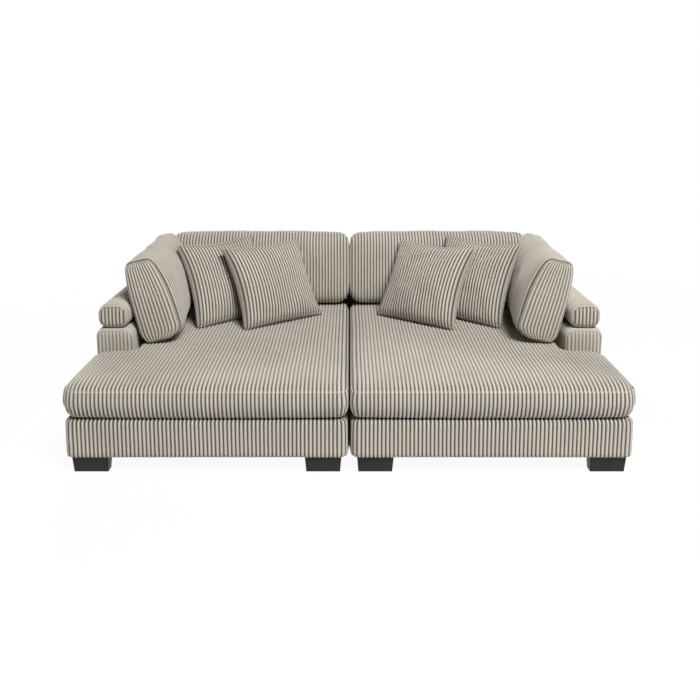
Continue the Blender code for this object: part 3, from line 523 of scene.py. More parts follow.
def wrapped_body(rings, depths, to_place, bulge, step, start=0, fill=0.0, open_foot=False, end_ribs="free",
                 end_painted_fill=0.0):
    """Panels of a piece whose fabric wraps round a row of rings, with an end panel on each side.
    rings are (left, right) side points; depths are their places along the piece."""
    faces = [profile_grid(left, right) for left, right in rings]
    loops = np.stack([loop_of(face) for face in faces])
    if open_foot:
        loops = loops[:, len(FACE_SHARES) - 1 :]
    band = to_place(loops[..., 0], loops[..., 1], depths[:, None] + 0 * loops[..., 0])
    around = lengths(loops[len(loops) // 2])
    wrap = Panel(band, depths + start, around, step, (WELTED, WELTED, PLAIN, PLAIN))
    wrap.fill = fill
    if open_foot:
        wrap.pinned[:, (0, -1)] = True
    first = end_panel(faces[0], depths[0], -bulge, to_place, step, end_ribs, end_painted_fill)
    last = end_panel(faces[-1], depths[-1], bulge, to_place, step, end_ribs, end_painted_fill)
    return [wrap, first, last]


def rounded_sides(low, high, foot, top, radius, foot_radius):
    """Left and right side points of a rounded rectangle, from its foot to its top."""
    low_arc = arc_nodes(foot, foot_radius)
    high_arc = arc_nodes(top, -radius)[::-1]
    straight = np.linspace(low_arc[-1], high_arc[0], SIDE_ROWS + 2)[1:-1]
    heights = np.concatenate([low_arc, straight, high_arc])
    drop = arc_drop(heights - foot, foot_radius) + arc_drop(top - heights, radius)
    return np.stack([low + drop, heights], 1), np.stack([high - drop, heights], 1)


# Bands round a plan outline. Each wall row is (inset, height, rib height share, how far the valleys open and
# their painted shade widens)
def offset_band(loop, walls):
    """A band round a closed plan outline."""
    outline = loop[:, :2]
    ahead = np.roll(outline[:-1], -1, axis=0) - np.roll(outline[:-1], 1, axis=0)
    ahead = np.concatenate([ahead, ahead[:1]])
    inward = np.stack([-ahead[:, 1], ahead[:, 0]], 1)
    inward /= np.linalg.norm(inward, axis=1, keepdims=True)
    rows = [np.concatenate([outline + inward * inset, np.full((len(outline), 1), height)], 1)
            for inset, height, *_ in walls]
    return np.stack(rows, 1)


def square_corners(band, walls, bounds):
    """Keeps the rows that lie further in than the rounded corners from folding over there."""
    inner, outer, front, rear = bounds
    inset = np.array([wall[0] for wall in walls]).clip(0)
    band[..., 0] = np.clip(band[..., 0], inner + inset, outer - inset)
    band[..., 1] = np.clip(band[..., 1], front + inset, rear - inset)
    return band


def banded_panel(loop, band, walls, columns, step, seams):
    """The ribbed panel of a band, whose ribs meet those of the piece's front columns."""
    middle = len(columns) // 2
    around = lengths(loop[:, :2])
    around += columns[middle] - around[middle]
    panel = Panel(band, around, lengths(band[middle]), step, seams)
    panel.fade, panel.open = np.array(walls, float).T[2:]
    return panel


# Seat cushion
SEAT_INNER_ARC, SEAT_OUTER_ARC, SEAT_NOTCH_ARC = 0.040, 0.065, 0.030
SEAT_REAR_ARC, SEAT_EAR_ARC = 0.040, 0.050
SEAT_INSETS = {"inner": 0.0015, "outer": 0.021, "front": 0.008}  # from the sides of the solid
SEAT_GAPS = {"rear": 0.014, "notch_x": 0.014, "notch_y": 0.018}  # from the back and from the arm
SEAT_CROWN, SEAT_SHOULDER = 0.039, 0.120  # its height, and the width over which it rises
SEAT_UNDER_INSET = 0.060


def seat_rise(x, y, is_ear, lines, sides, bend):
    """Share of the crown over the seat cushion, which falls to nothing at its seams."""
    (inner, outer, notch_x), (front_line, ear_line, rear_line) = sides, lines
    from_rear = np.where(is_ear[:, None], (ear_line[:, None] - y) / (0.3 * SEAT_SHOULDER),
                         (rear_line[:, None] - y) / (0.35 * SEAT_SHOULDER))
    shares = ((y - front_line[:, None]) / SEAT_SHOULDER, (outer - x) / SEAT_SHOULDER,
              (x - inner) / (0.4 * SEAT_SHOULDER), from_rear)
    near_seam = sum((1 - np.clip(share, 0, 1)) ** 4 for share in shares) ** 0.25
    notch = np.hypot(np.maximum(notch_x - x, 0), np.maximum(bend - y, 0)) / (0.33 * SEAT_SHOULDER)
    return crown(1 - near_seam) * np.where(is_ear[:, None], 1, crown(notch))


def seat_top(sides, front, rear, notch_y):
    """The crowned L-shaped top, and the index of its last column and row beside the notch."""
    inner, outer, notch_x = sides
    columns = np.concatenate([
        arc_nodes(inner, SEAT_INNER_ARC),
        even(inner + SEAT_INNER_ARC, notch_x - SEAT_REAR_ARC, 0.032),
        arc_nodes(notch_x, -SEAT_REAR_ARC)[::-1],
        arc_nodes(notch_x, SEAT_NOTCH_ARC, 3)[1:],
        even(notch_x + SEAT_NOTCH_ARC, outer - SEAT_OUTER_ARC, 0.032),
        arc_nodes(outer, -SEAT_OUTER_ARC, 5)[::-1],
    ])
    is_ear = columns > notch_x + 1e-6
    bend = notch_y + SEAT_NOTCH_ARC
    ahead, behind = bend - front, rear - bend
    near_rows = np.array((0, 0.007, 0.018, 0.034, 0.055, 0.08, 0.11))
    first = np.concatenate([near_rows, even(near_rows[-1], ahead, 0.034), [ahead]]) / ahead
    second = np.concatenate([even(0, behind - near_rows[4], 0.036), behind - near_rows[4::-1]]) / behind
    front_line = front + arc_drop(columns - inner, SEAT_INNER_ARC) + arc_drop(outer - columns, SEAT_OUTER_ARC)
    ear_line = (bend - SEAT_NOTCH_ARC + arc_drop(columns - notch_x, SEAT_NOTCH_ARC)
                - arc_drop(outer - columns, SEAT_EAR_ARC))
    rear_line = rear - arc_drop(columns - inner, SEAT_REAR_ARC) - arc_drop(notch_x - columns, SEAT_REAR_ARC)
    middle_line = np.where(is_ear, ear_line, bend)
    rear_line = np.where(is_ear, middle_line + behind, rear_line)
    y = np.concatenate([
        front_line[:, None] + (middle_line - front_line)[:, None] * first[None],
        middle_line[:, None] + (rear_line - middle_line)[:, None] * second[None],
    ], axis=1)
    x = columns[:, None] + 0 * y
    seam, top = seat_high.z - SEAT_CROWN, seat_high.z - RAISE
    rise = seat_rise(x, y, is_ear, (front_line, ear_line, rear_line), sides, bend)
    grid = np.stack([x, y, seam + (top - seam) * rise], -1)
    last_column, bend_row = int(np.sum(~is_ear)) - 1, len(first) - 1
    for row in range(bend_row + 1, y.shape[1]):
        grid[is_ear, row] = grid[is_ear, bend_row] + grid[last_column, row] - grid[last_column, bend_row]
    along = np.concatenate([first * ahead, ahead + second * behind]) + front
    panel = Panel(grid, columns, along, 0.022, (FLUSH, WELTED, FLUSH, FLUSH))
    panel.corner = (notch_x, along[bend_row])
    # painted light in the valleys of the seat's top
    panel.fill = 0.30
    return panel, last_column, bend_row


def seat_band(top, last_column, bend_row, inner):
    """The band from the top's seam down and in under the cushion."""
    grid, foot, seam = top.grid, seat_low.z + TOUCH, seat_high.z - SEAT_CROWN
    loop = np.concatenate([
        grid[:, 0], grid[-1, 1 : bend_row + 1], grid[-2:last_column:-1, bend_row],
        grid[last_column, bend_row:], grid[last_column - 1 :: -1, -1], grid[0, -2::-1],
    ])
    walls = (
        (0.0, seam, 1, 0), (-0.004, seam - 0.020, 1, 0), (-0.0075, seam - 0.045, 1, 0),
        (-0.006, seam - 0.070, 1, 0), (0.0, foot + 0.052, 1, 0.2), (0.004, foot + 0.034, 1, 0.8),
        (0.016, foot + 0.0165, 0.9, 1.2), (0.034, foot + 0.0065, 0.5, 1.2), (SEAT_UNDER_INSET, foot, 0.1, 1),
    )
    band = offset_band(loop, walls)
    band[..., 0] = np.maximum(band[..., 0], inner)
    return banded_panel(loop, band, walls, top.across, 0.018, (PLAIN, PLAIN, FLUSH, PLAIN))


def seat_panels():
    """L-shaped top with its crown, a ribbed band round it and a flat underside."""
    inner, outer = seat_low.x + SEAT_INSETS["inner"] + RAISE, seat_high.x - SEAT_INSETS["outer"] - RAISE
    front, rear = seat_low.y + SEAT_INSETS["front"] + RAISE, back_low.y - SEAT_GAPS["rear"] - RAISE
    notch_x, notch_y = arm_low.x - SEAT_GAPS["notch_x"] - RAISE, arm_low.y - SEAT_GAPS["notch_y"] - RAISE
    top, last_column, bend_row = seat_top((inner, outer, notch_x), front, rear, notch_y)
    band = seat_band(top, last_column, bend_row, inner)
    under = top.grid.copy()
    centre = np.array([(inner + outer) / 2, (front + rear) / 2])
    half_size = np.array([0.65, 0.70])
    under[..., 2] = seat_low.z + TOUCH
    under[..., :2] = centre + (under[..., :2] - centre) * (1 - SEAT_UNDER_INSET / half_size)
    under_panel = plain_panel(under, top.across, top.along)
    under_panel.corner = top.corner
    return [top, band, under_panel]


# Base
BASE_ARC = 0.034
BASE_LIP = 0.094  # how far the casing reaches in over the timber and under it


def base_outline(inner, outer, front, rear):
    """Plan outline of the base, anticlockwise from its front inner corner, and its columns in front."""
    columns = np.concatenate([
        arc_nodes(inner, BASE_ARC), even(inner + BASE_ARC, outer - BASE_ARC, 0.04),
        arc_nodes(outer, -BASE_ARC)[::-1],
    ])
    rows = np.append(even(front + BASE_ARC, front + 0.3, 0.03), even(front + 0.27, rear - BASE_ARC, 0.05))
    drop = arc_drop(columns - inner, BASE_ARC), arc_drop(outer - columns, BASE_ARC)
    low = np.stack([columns, front + drop[0] + drop[1]], 1)
    high = np.stack([columns, rear - drop[0] - drop[1]], 1)
    loop = np.concatenate([
        low, np.stack([np.full(len(rows), outer), rows], 1), high[::-1],
        np.stack([np.full(len(rows), inner), rows[::-1]], 1), low[:1],
    ])
    return loop, columns


def base_walls(foot, top):
    """Up from the underside, over the top edge and in under the seat cushion."""
    return (
        (BASE_LIP, foot, 0, 0), (0.05, foot, 0.1, 0), (0.014, foot, 0.5, 0), (0.006, foot + 0.0005, 0.8, 0),
        (0.0018, foot + 0.003, 1, 0), (0.0, foot + 0.008, 1, 0), (-0.001, foot + 0.045, 1, 0),
        (-0.002, foot + 0.085, 1, 0), (-0.001, foot + 0.130, 1, 0.1), (0.0, top - 0.026, 1, 0.4),
        (0.0004, top - 0.0155, 1, 0.8), (0.0028, top - 0.0090, 1, 1.4), (0.0085, top - 0.0068, 1, 1.6),
        (0.020, top - 0.0052, 0.9, 1.6), (0.036, top - 0.0025, 0.45, 1.6), (0.056, top - 0.0005, 0.05, 1),
        (BASE_LIP, top, 0, 1),
    )


def toward_twin(band, inner, front, rear, foot, top):
    """Share by which the inner side bulges toward the other base, away from its edges."""
    set_back = front + 0.045 + 0.9 * (band[..., 2] - foot)
    share = crown((inner + 0.01 - band[..., 0]) / 0.010) * crown((band[..., 1] - set_back) / 0.05)
    share *= crown((rear - 0.02 - band[..., 1]) / 0.05)
    share *= crown((band[..., 2] - foot - 0.003) / 0.012) * crown((top - 0.003 - band[..., 2]) / 0.02)
    return share


def base_panels():
    """Casing of the base, and the lining on the inside of its walls."""
    bounds = inner, outer, front, rear = (
        base_low.x + RAISE, base_high.x - RAISE, base_low.y + RAISE, base_high.y - RAISE)
    foot, top = base_low.z + TOUCH / 2, base_high.z - TOUCH / 2
    wall, under_lip, over_flange = 0.0122 - RAISE, top - 0.008, foot + 0.0025
    loop, columns = base_outline(*bounds)
    walls = base_walls(foot, top)
    band = square_corners(offset_band(loop, walls), walls, bounds)
    band[..., 0] -= (base_low.x - PAIR_GAP) * toward_twin(band, inner, front, rear, foot, top)
    casing = banded_panel(loop, band, walls, columns, 0.016, (PLAIN,) * 4)
    inside = ((BASE_LIP, top), (BASE_LIP, under_lip), (wall, under_lip), (wall, over_flange),
              (BASE_LIP, over_flange), (BASE_LIP, foot))
    grid = square_corners(offset_band(loop, inside), inside, bounds)
    return [casing, plain_panel(grid, casing.across, lengths(grid[len(columns) // 2]))]


# Arm and its roll. Each end row is (side inset, top inset, distance from the end)
ARM_ENDS = ((0.001, 0.009, 0.008), (0.0, 0.003, 0.013), (0.0, 0.0, 0.030))
ROLL_ENDS = ((0.002, 0.003, 0.010), (0.0005, 0.001, 0.015), (0.0, 0.0, 0.030))
ARM_TOP_ARC, ARM_FOOT_ARC, ROLL_ARC = 0.040, 0.008, 0.042
# the second value is painted light in the valleys of arms and rolls
BOLSTER_BULGE, BOLSTER_PAINTED_FILL = 0.006, 0.35


def bolster_panels(low, high, top_arc, foot_arc, ends, open_foot=False):
    """Arm or roll: wrapped lengthwise, with an end panel in front and behind."""
    left, right = low.x + RAISE, high.x - RAISE
    foot, top = low.z + (TOUCH if open_foot else RAISE), high.z - RAISE
    length = high.y - low.y
    middle = tuple((0.0, 0.0, distance) for distance in np.linspace(0.09, length - 0.09, 22))
    rear = tuple((side, over, length - distance) for side, over, distance in ends[::-1])
    rings, depths = [], []
    for side, over, distance in ends + middle + rear:
        under = 0 if open_foot else over
        rings.append(rounded_sides(left + side, right - side, foot + under, top - over, top_arc, foot_arc))
        depths.append(low.y + distance)
    return wrapped_body(rings, np.array(depths), lambda u, v, w: np.stack([u, w, v], -1), BOLSTER_BULGE,
                        0.012, fill=BOLSTER_PAINTED_FILL, open_foot=open_foot,
                        end_painted_fill=BOLSTER_PAINTED_FILL if open_foot else 0.0)


# Back. Each end row is (inset, distance from the end)
BACK_LEAN = math.radians(10)
BACK_TOP_ARC, BACK_FOOT_ARC = 0.035, 0.008
BACK_ENDS = ((0.012, 0.006), (0.003, 0.010), (0.0, 0.024))
BACK_BULGE = 0.004


def back_panels():
    """Back of a chaise: a leaning front, a rounded top and an upright rear, wrapped from end to end."""
    foot, top = back_low.z + TOUCH, back_high.z - RAISE
    rear, front = back_high.y - RAISE, back_low.y + RAISE
    low, length = PAIR_GAP, back_high.x - RAISE - PAIR_GAP
    middle = tuple((0.0, distance) for distance in np.linspace(0.07, length - 0.07, 20))
    last = tuple((inset, length - distance) for inset, distance in BACK_ENDS[::-1])
    rings, depths = [], []
    for inset, distance in BACK_ENDS + middle + last:
        left, right = rounded_sides(front + inset, rear - inset, foot, top - inset, BACK_TOP_ARC,
                                    BACK_FOOT_ARC)
        left[:, 0] += (left[:, 1] - foot) * math.tan(BACK_LEAN)
        rings.append((left, right))
        depths.append(distance)
    return wrapped_body(rings, np.array(depths) + low, lambda u, v, w: np.stack([w, u, v], -1), BACK_BULGE,
                        0.016, open_foot=True)


# Cushions
FACE_DENTS = 0.003  # how deep they are on the back and side cushions


def leaned(out, up, lean):
    """Where a point goes when what it stands on leans out by an angle."""
    return out * math.cos(lean) + up * math.sin(lean), up * math.cos(lean) - out * math.sin(lean)


# Back cushion
def back_cushion_panels():
    """Plump cushion against the back, wrapped from its foot over the top, with an end panel on each side."""
    height, depth, swell, seam_gap, hollow = 0.434 - RAISE, 0.185, 0.040 - RAISE, 0.0035, -0.003
    corner, top_arc, foot_arc, top_roll, foot_roll = 0.09, 0.065, 0.08, 0.045, 0.040
    foot, low, high = SEAT_PLANE - FOOT_SINK, PAIR_GAP + seam_gap, cushion_high.x - RAISE
    half = (high - low) / 2
    origin = np.array([(low + high) / 2, back_low.y + (foot - back_low.z) * math.tan(BACK_LEAN), foot])
    across = np.concatenate([
        arc_nodes(-half, corner, 6), even(corner - half, half - corner, 0.035),
        arc_nodes(half, -corner, 6)[::-1],
    ])
    rings = []
    for end in half - abs(across):
        drop, lift = arc_drop(end, top_arc), arc_drop(end, foot_arc)
        left, right = rounded_sides(0.0, depth, lift, height - drop, top_roll, foot_roll)
        share = (left[:, 1] - lift) / (height - drop - lift)
        left[:, 0] += RAISE + 0.030 * (1 - crown(end / 0.05)) + 0.020 * crown(end / 0.15)
        right[:, 0] += swell * crown(end / 0.15) * crown(share / 0.32) * crown((1 - share) / 0.32)
        rings.append((left, right))

    def to_place(w, v, u):
        y, z = leaned(-w, v, BACK_LEAN)
        return origin + np.stack([u, y, z], -1)

    # painted light in the valleys of the back cushion's wrap
    panels = wrapped_body(rings, across, to_place, hollow, 0.015, start=origin[0], fill=0.15)
    panels[0].dents = FACE_DENTS
    return panels


# Side cushion
SIDE_LEAN = math.radians(14)
SIDE_LENGTH, SIDE_HEIGHT, SIDE_THICKNESS = 0.665, 0.441, 0.175
SIDE_FRONT_ARC, SIDE_REAR_ARC = 0.014, 0.055
SIDE_RISE = 0.022  # rear top corner above the front one
SIDE_REAR_REACH = 0.070  # how far the rear top corner leans back
SIDE_ARM_GAP, SIDE_SETBACK = 0.006, 0.040  # from the roll, and from the arm's front


def side_ring(w):
    """Left and right side points of the side cushion at a distance from its front."""
    height, half = SIDE_HEIGHT - RAISE, (SIDE_THICKNESS - RAISE) / 2
    top_roll, foot_roll, foot_share, top_share = 0.034, 0.056, 0.84, 0.66
    low, high = 2 * RAISE, SIDE_LENGTH - 2 * RAISE
    rise = SIDE_RISE * w / SIDE_LENGTH
    drop = arc_drop(w - low, SIDE_FRONT_ARC) * 0.5 + arc_drop(high - w, SIDE_REAR_ARC)
    left, right = rounded_sides(-half, half, drop * 0.7, height + rise - drop, top_roll, foot_roll)
    share = left[:, 1] / (height + rise)
    middle = 4 * share * (1 - share)
    edge = foot_share + (top_share - foot_share) * share
    keep = edge + (1 - edge) * middle
    fuller = crown(min(w - low, high - w) / 0.19)
    ahead = 1 - w / SIDE_LENGTH
    right[:, 0] = right[:, 0] * keep + 0.004 * fuller * middle
    right[:, 0] -= 0.009 * share + 0.009 * middle
    swell = (0.046 - RAISE) * fuller * crown(share / 0.41) * crown((1 - share) / 0.41)
    left[:, 0] = left[:, 0] * keep - swell
    left[:, 0] -= (0.068 * ahead**1.6 - 0.020 * (1 - ahead)) * (1 - 0.60 * share) * crown(share / 0.14)
    return left, right


def side_cushion_panels():
    """Cushion that leans out on the arm: lens-shaped end panels and one panel wrapped round it lengthwise."""
    height, foot = SIDE_HEIGHT - RAISE, SEAT_PLANE - FOOT_SINK
    lean_in = ((roll_low.z + roll_high.z) / 2 - foot) * math.tan(SIDE_LEAN)
    origin = np.array([roll_low.x - SIDE_ARM_GAP - lean_in, arm_low.y + SIDE_SETBACK, foot])
    low, high = 2 * RAISE, SIDE_LENGTH - 2 * RAISE
    along = np.concatenate([
        arc_nodes(low, SIDE_FRONT_ARC, 3), even(low + SIDE_FRONT_ARC, high - SIDE_REAR_ARC, 0.03),
        arc_nodes(high, -SIDE_REAR_ARC, 4)[::-1],
    ])

    def to_place(u, v, w):
        x, z = leaned(u - SIDE_THICKNESS / 2, v, SIDE_LEAN)
        return origin + np.stack([x, w + SIDE_REAR_REACH * (v / height) * (w / SIDE_LENGTH), z], -1)

    bulge = 0.012
    # painted light in the valleys of the wrap and, more, of the end panels
    panels = wrapped_body([side_ring(w) for w in along], along, to_place, bulge, 0.014, fill=0.12,
                          end_ribs="columns", end_painted_fill=0.20)
    panels[0].dents = FACE_DENTS
    return panels


# Scatter cushions: turn, lean, how far each is pushed outward, how full its front is
PILLOWS = {
    "front": (math.radians(37), math.radians(31), -0.002, 1.25),
    "rear": (math.radians(42), math.radians(25.5), 0.014, 0.95),
}
PILLOW_SIZE, PILLOW_THICKNESS = 0.500, 0.165
PILLOW_REAR_FULLNESS = 0.85
PILLOW_PINCH = 0.022  # how far the sides draw in between the corners
PILLOW_PINCH_SHARES = {"sides": 1.3, "foot": 0.25, "top": 1.8}
PILLOW_SPREAD = 0.008  # how much further it reaches to either side than up
PILLOW_SINK, PILLOW_SWELL, PILLOW_DENTS = 0.001, 0.43, 0.008
PILLOW_HEM = 0.018  # from the edge to the crease inside it


def pillow_panels(turned, fullness, foot_x, foot_y):
    """Two square faces sewn round their rim, stood on one edge."""
    shares = np.sin(np.linspace(-math.pi / 2, math.pi / 2, 29))
    u, v = np.meshgrid(shares, shares, indexing="ij")
    half = PILLOW_SIZE / 2 + 0.002
    up_pinch = np.where(v < 0, PILLOW_PINCH_SHARES["foot"], PILLOW_PINCH_SHARES["top"])
    x = u * (half + PILLOW_SPREAD - PILLOW_PINCH_SHARES["sides"] * PILLOW_PINCH * (1 - v * v))
    y = half + v * (half - PILLOW_PINCH * (1 - u * u) * up_pinch)
    swell = ((1 - u * u) * (1 - v * v)).clip(0) ** PILLOW_SWELL * (PILLOW_THICKNESS / 2 - RAISE)
    place = np.array([foot_x, foot_y, SEAT_PLANE - PILLOW_SINK])
    panels = []
    for hand in (fullness, -PILLOW_REAR_FULLNESS):
        grid = np.stack([x, y, hand * swell], -1) @ np.array(turned).T + place
        panel = Panel(grid, half * shares, half * shares, 0.013)
        panel.hem, panel.dents = PILLOW_HEM, PILLOW_DENTS
        panels.append(panel)
    return panels


def dress_pillows():
    for spot, (turn, lean, outward, fullness) in PILLOWS.items():
        low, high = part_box(f"scatter_cushion_{spot}_right")
        turned = Euler((math.pi / 2 - lean, 0, -turn)).to_matrix()
        reach = turned @ Vector((0, PILLOW_SIZE / 2, 0))
        foot_x, foot_y = (low.x + high.x) / 2 - reach.x + outward, (low.y + high.y) / 2 - reach.y
        panels = pillow_panels(turned, fullness, foot_x, foot_y)
        dress(f"scatter_cushion_{spot}", panels, f"scatter_{spot}", 80, 20.0, 0.012, SEAT_PLANE, 0.015)


# Materials
def new_material(name):
    material = bpy.data.materials.new(name)
    material.use_nodes = True
    tree = material.node_tree
    return material, tree, tree.nodes["Principled BSDF"]


def set_sockets(made, values):
    for key, value in values.items():
        made.inputs[key].default_value = value


def node(tree, kind, *sources, **values):
    """A new node with these values, and its first inputs linked to the sources."""
    made = tree.nodes.new(kind)
    for key, value in values.items():
        if key in made.inputs:
            made.inputs[key].default_value = value
        else:
            setattr(made, key, value)
    for source, socket in zip(sources, made.inputs):
        tree.links.new(source, socket)
    return made


def noise(tree, vector, scale, detail):
    return node(tree, "ShaderNodeTexNoise", vector, Scale=scale, Detail=detail).outputs["Fac"]


def ramp(tree, value, *stops):
    made = node(tree, "ShaderNodeValToRGB", value)
    while len(made.color_ramp.elements) < len(stops):
        made.color_ramp.elements.new(0.5)
    for element, (place, colour) in zip(made.color_ramp.elements, stops):
        element.position = place
        element.color = (*colour, 1) if len(colour) == 3 else (colour[0],) * 3 + (1,)
    return made.outputs["Color"]


def multiply(tree, first, second):
    made = node(tree, "ShaderNodeMix", data_type="RGBA", blend_type="MULTIPLY")
    made.inputs[0].default_value = 1.0
    tree.links.new(first, made.inputs[6])
    tree.links.new(second, made.inputs[7])
    return made.outputs[2]


def bump(tree, shader, height, strength, distance):
    made = node(tree, "ShaderNodeBump", Strength=strength, Distance=distance)
    tree.links.new(height, made.inputs["Height"])
    tree.links.new(made.outputs["Normal"], shader.inputs["Normal"])


def corduroy_material():
    """Pile that is lighter up the ribs, in slow patches and fine fibres; the ribs' lightness carries painted
    groove and seam shade and painted valley light.
    """
    material, tree, shader = new_material("corduroy")
    place = tree.nodes.new("ShaderNodeTexCoord").outputs["Object"]
    rib = node(tree, "ShaderNodeAttribute", attribute_name="rib").outputs["Fac"]
    # valley colours: the ground weave, darkened further by painted groove shade
    pile_and_painted_shade = ramp(tree, rib, (0.0, VALLEY_WEAVE_AND_SHADE), (0.30, GROOVE_WEAVE_AND_SHADE), (0.80, FLANK), (1.0, CREST))
    patches = ramp(tree, noise(tree, place, 5.0, 3), (0.3, (0.90,)), (0.7, (1.0,)))
    fibres = noise(tree, place, 420.0, 4)
    speckle = ramp(tree, fibres, (0.25, (0.84,)), (0.75, (1.0,)))
    colour = multiply(tree, multiply(tree, pile_and_painted_shade, patches), speckle)
    tree.links.new(colour, shader.inputs["Base Color"])
    set_sockets(shader, {
        "Roughness": 0.95, "Specular IOR Level": 0.15, "Sheen Weight": 0.30, "Sheen Roughness": 0.45,
        "Sheen Tint": SHEEN_TINT,
    })
    bump(tree, shader, fibres, 0.35, 0.0012)
    return material


def plain_material(name, dark, light, scale, roughness, metallic, stretch, height, shine):
    """A solid finish whose colour and relief vary with noise, which may be drawn out along one axis."""
    material, tree, shader = new_material(name)
    place = tree.nodes.new("ShaderNodeTexCoord").outputs["Object"]
    grain = noise(tree, node(tree, "ShaderNodeMapping", place, Scale=stretch).outputs["Vector"], scale, 6)
    tree.links.new(ramp(tree, grain, (0.3, dark), (0.7, light)), shader.inputs["Base Color"])
    shade = ramp(tree, grain, (0.2, (roughness * 0.85,)), (0.8, (min(roughness * 1.15, 1),)))
    tree.links.new(shade, shader.inputs["Roughness"])
    set_sockets(shader, {"Metallic": metallic, "Specular IOR Level": shine})
    bump(tree, shader, grain, height, 0.0006)
    return material


# Building the pair
SIDES = {"right": 1, "left": -1}


def keep_within(panels, part, inward, standing, close_seams):
    """Holds the panels in the space of their solid, or close round it."""
    low, high = (np.array(corner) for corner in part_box(f"{part}_right"))
    low[0] -= inward
    lowest = low + (RAISE, RAISE - SPARE, TOUCH)
    highest = high - RAISE + (SPARE + inward, SPARE, SPARE if standing else 0)
    for panel in panels:
        if panel.ribs != "plain":
            within = np.clip(panel.grid, lowest, highest)
            panel.grid = np.where(panel.pinned[..., None] & close_seams, panel.grid, within)


def dress(part, panels, body, seed, pressure=None, cap=None, floor=None, inward=0.0, close_seams=False):
    """Blows up the panels of one right-hand piece and puts it, and its mirror image, in place of the solids.
    inward is how far it may stand out toward the middle of the pair."""
    if pressure:
        inflate(panels, pressure, cap)
        keep_within(panels, part, inward, floor is not None, close_seams)
    for side, hand in SIDES.items():
        own = panels if hand == 1 else [panel.mirrored() for panel in panels]
        piece = make_fabric(f"{part}_{side}_corduroy", own, corduroy, seed + hand, floor)
        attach(piece, f"{body}_{side}")
        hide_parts(f"{part}_{side}")


corduroy = corduroy_material()
dress("base_cover", base_panels(), "chaise", 10)
arm = bolster_panels(arm_low, arm_high, ARM_TOP_ARC, ARM_FOOT_ARC, ARM_ENDS, open_foot=True)
dress("arm_cover", arm, "chaise", 20, 0.15, 0.006)
roll = bolster_panels(roll_low, roll_high, ROLL_ARC, ROLL_ARC, ROLL_ENDS)
dress("arm_roll", roll, "chaise", 30, 0.5, 0.006, roll_low.z)
dress("back_cover", back_panels(), "chaise", 40, 0.1, 0.006, inward=back_low.x - PAIR_GAP + RAISE)
dress("seat_cushion", seat_panels(), "seat", 50, 0.08, 0.012)
dress("back_cushion", back_cushion_panels(), "back_cushion", 60, 0.25, 0.012, SEAT_PLANE,
      cushion_low.x - PAIR_GAP, close_seams=True)
dress("side_cushion", side_cushion_panels(), "side_cushion", 70, 0.5, 0.012, SEAT_PLANE, 0.045)
dress_pillows()

FINISHES = {  # dark, light, scale of the grain, roughness, metallic, stretch, height, shine
    "black_wood": ((0.010, 0.012, 0.009), (0.018, 0.021, 0.016), 14, 0.45, 0.0, (1, 1, 0.15), 0.2, 0.25),
    "timber": ((0.40, 0.27, 0.15), (0.58, 0.43, 0.26), 22, 0.62, 0.0, (0.12, 1, 1), 0.2, 0.5),
    "felt": ((0.13, 0.13, 0.135), (0.22, 0.22, 0.225), 160, 0.95, 0.0, (1, 1, 1), 0.5, 0.5),
    "dust_cloth": ((0.014, 0.014, 0.015), (0.03, 0.03, 0.032), 500, 0.9, 0.0, (1, 1, 1), 0.5, 0.5),
    "spring_steel": ((0.22, 0.22, 0.23), (0.34, 0.34, 0.35), 60, 0.38, 1.0, (1, 1, 1), 0.2, 0.5),
    "zinc_steel": ((0.50, 0.51, 0.52), (0.66, 0.67, 0.68), 35, 0.34, 1.0, (1, 1, 1), 0.2, 0.5),
}
NODE_FINISHES = {
    "base_frame": "timber", "arm_frame": "timber", "back_frame": "timber", "seat_spring": "spring_steel",
    "deck_pad": "felt", "dust_cover": "dust_cloth", "foot_bolt": "zinc_steel", "foot": "black_wood",
    "coupling": "zinc_steel",
}
finishes = {name: plain_material(name, *values) for name, values in FINISHES.items()}
for name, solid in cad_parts.items():
    finish = next((finishes[kind] for start, kind in NODE_FINISHES.items() if name.startswith(start)), None)
    if finish:
        for slot in solid.material_slots:
            slot.material = finish

# Studio
FLOOR_HALF, FLOOR_COLOUR = 14.0, (0.82, 0.82, 0.82, 1)
FLOOR_GLOW = 0.94  # share of plain white that the camera sees near the object
GLOW_NEAR, GLOW_FAR = 1.2, 5.5  # distances between which the floor turns all white
WORLD_LIGHT = 0.07
WHITE = (1.0, 1.0, 1.0, 1)
LAMPS = {  # place, size, power
    "key": ((2.2, -5.0, 7.2), (3.0, 2.2), 950),
    "rear": ((-3.0, 7.5, 4.5), (3.2, 2.4), 420),
}
LAMP_TARGET = (0, 0, 0.4)
CAMERA_TILT = math.radians(8)
CAMERA_PLACE = (0.0, -4.031, 1.712)
CAMERA_LENS = 38.58
CAMERA_SHIFT = (0.0011, -0.2114)


def seen_directly(tree):
    """One for rays from the camera, also by way of a reflection, and nothing for light."""
    path = tree.nodes.new("ShaderNodeLightPath").outputs
    seen = path["Is Camera Ray"]
    for other in ("Is Glossy Ray", "Is Transmission Ray"):
        seen = node(tree, "ShaderNodeMath", seen, path[other], operation="MAXIMUM").outputs[0]
    return seen


def mix_into(tree, output, share, first, second):
    """Leads a mix of two shaders to a tree's output."""
    mix = node(tree, "ShaderNodeMixShader", share, first, second)
    tree.links.new(mix.outputs[0], tree.nodes[output].inputs["Surface"])


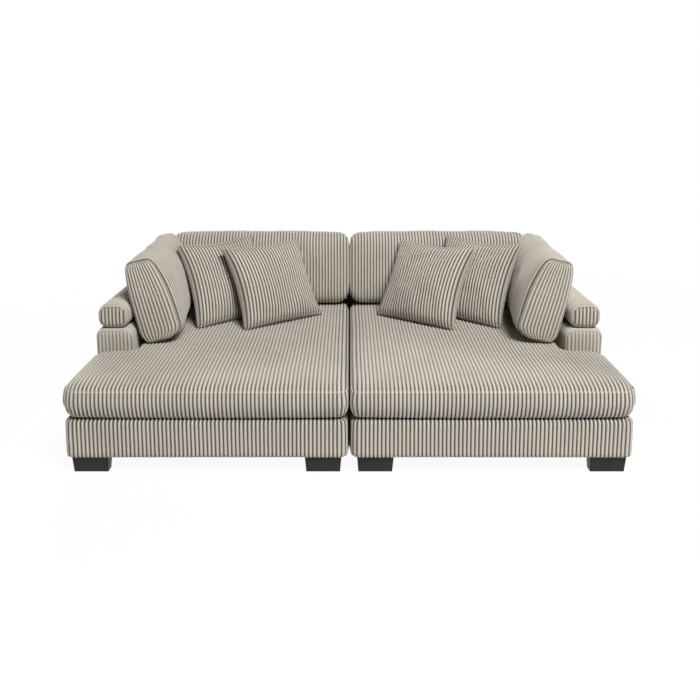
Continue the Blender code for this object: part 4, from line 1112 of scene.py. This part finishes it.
def floor_material():
    """White to the camera and to reflections, under the shadow that the object casts on it."""
    material, tree, shader = new_material("floor")
    tree.nodes.remove(shader)
    diffuse = node(tree, "ShaderNodeBsdfDiffuse", Color=FLOOR_COLOUR)
    glow = node(tree, "ShaderNodeEmission", Color=WHITE, Strength=1.0)
    place = tree.nodes.new("ShaderNodeTexCoord").outputs["Object"]
    distance = node(tree, "ShaderNodeVectorMath", place, operation="LENGTH").outputs["Value"]
    share = node(tree, "ShaderNodeMapRange", distance, interpolation_type="SMOOTHSTEP")
    set_sockets(share, {"From Min": GLOW_NEAR, "From Max": GLOW_FAR, "To Min": FLOOR_GLOW, "To Max": 1.0})
    part = node(tree, "ShaderNodeMath", seen_directly(tree), share.outputs[0], operation="MULTIPLY")
    mix_into(tree, "Material Output", part.outputs[0], diffuse.outputs[0], glow.outputs[0])
    return material


def make_floor():
    corners = [(x * FLOOR_HALF, y * FLOOR_HALF, 0) for x, y in ((-1, -1), (1, -1), (1, 1), (-1, 1))]
    mesh = bpy.data.meshes.new("floor")
    mesh.from_pydata(corners, [], [(0, 1, 2, 3)])
    make_object("floor", mesh, floor_material())


def make_world():
    world = bpy.data.worlds.new("studio")
    bpy.context.scene.world = world
    world.use_nodes = True
    tree = world.node_tree
    light = tree.nodes["Background"]
    set_sockets(light, {"Color": WHITE, "Strength": WORLD_LIGHT})
    white = node(tree, "ShaderNodeBackground", Color=WHITE, Strength=1.0)
    mix_into(tree, "World Output", seen_directly(tree), light.outputs[0], white.outputs[0])


def make_lamp(name, place, size, power):
    lamp = bpy.data.lights.new(name, "AREA")
    lamp.shape = "RECTANGLE"
    lamp.size, lamp.size_y = size
    lamp.energy = power
    obj = make_object(name, lamp)
    obj.location = place
    obj.rotation_euler = (Vector(LAMP_TARGET) - Vector(place)).to_track_quat("-Z", "Y").to_euler()


def make_camera():
    camera = bpy.data.cameras.new("camera")
    camera.lens = CAMERA_LENS
    camera.shift_x, camera.shift_y = CAMERA_SHIFT
    camera.clip_end = 60
    obj = make_object("camera", camera)
    obj.location = CAMERA_PLACE
    obj.rotation_euler = (math.pi / 2 - CAMERA_TILT, 0, 0)
    bpy.context.scene.camera = obj


make_floor()
make_world()
for name, (place, size, power) in LAMPS.items():
    make_lamp(name, place, size, power)
make_camera()
bpy.context.scene.view_settings.view_transform = "Standard"
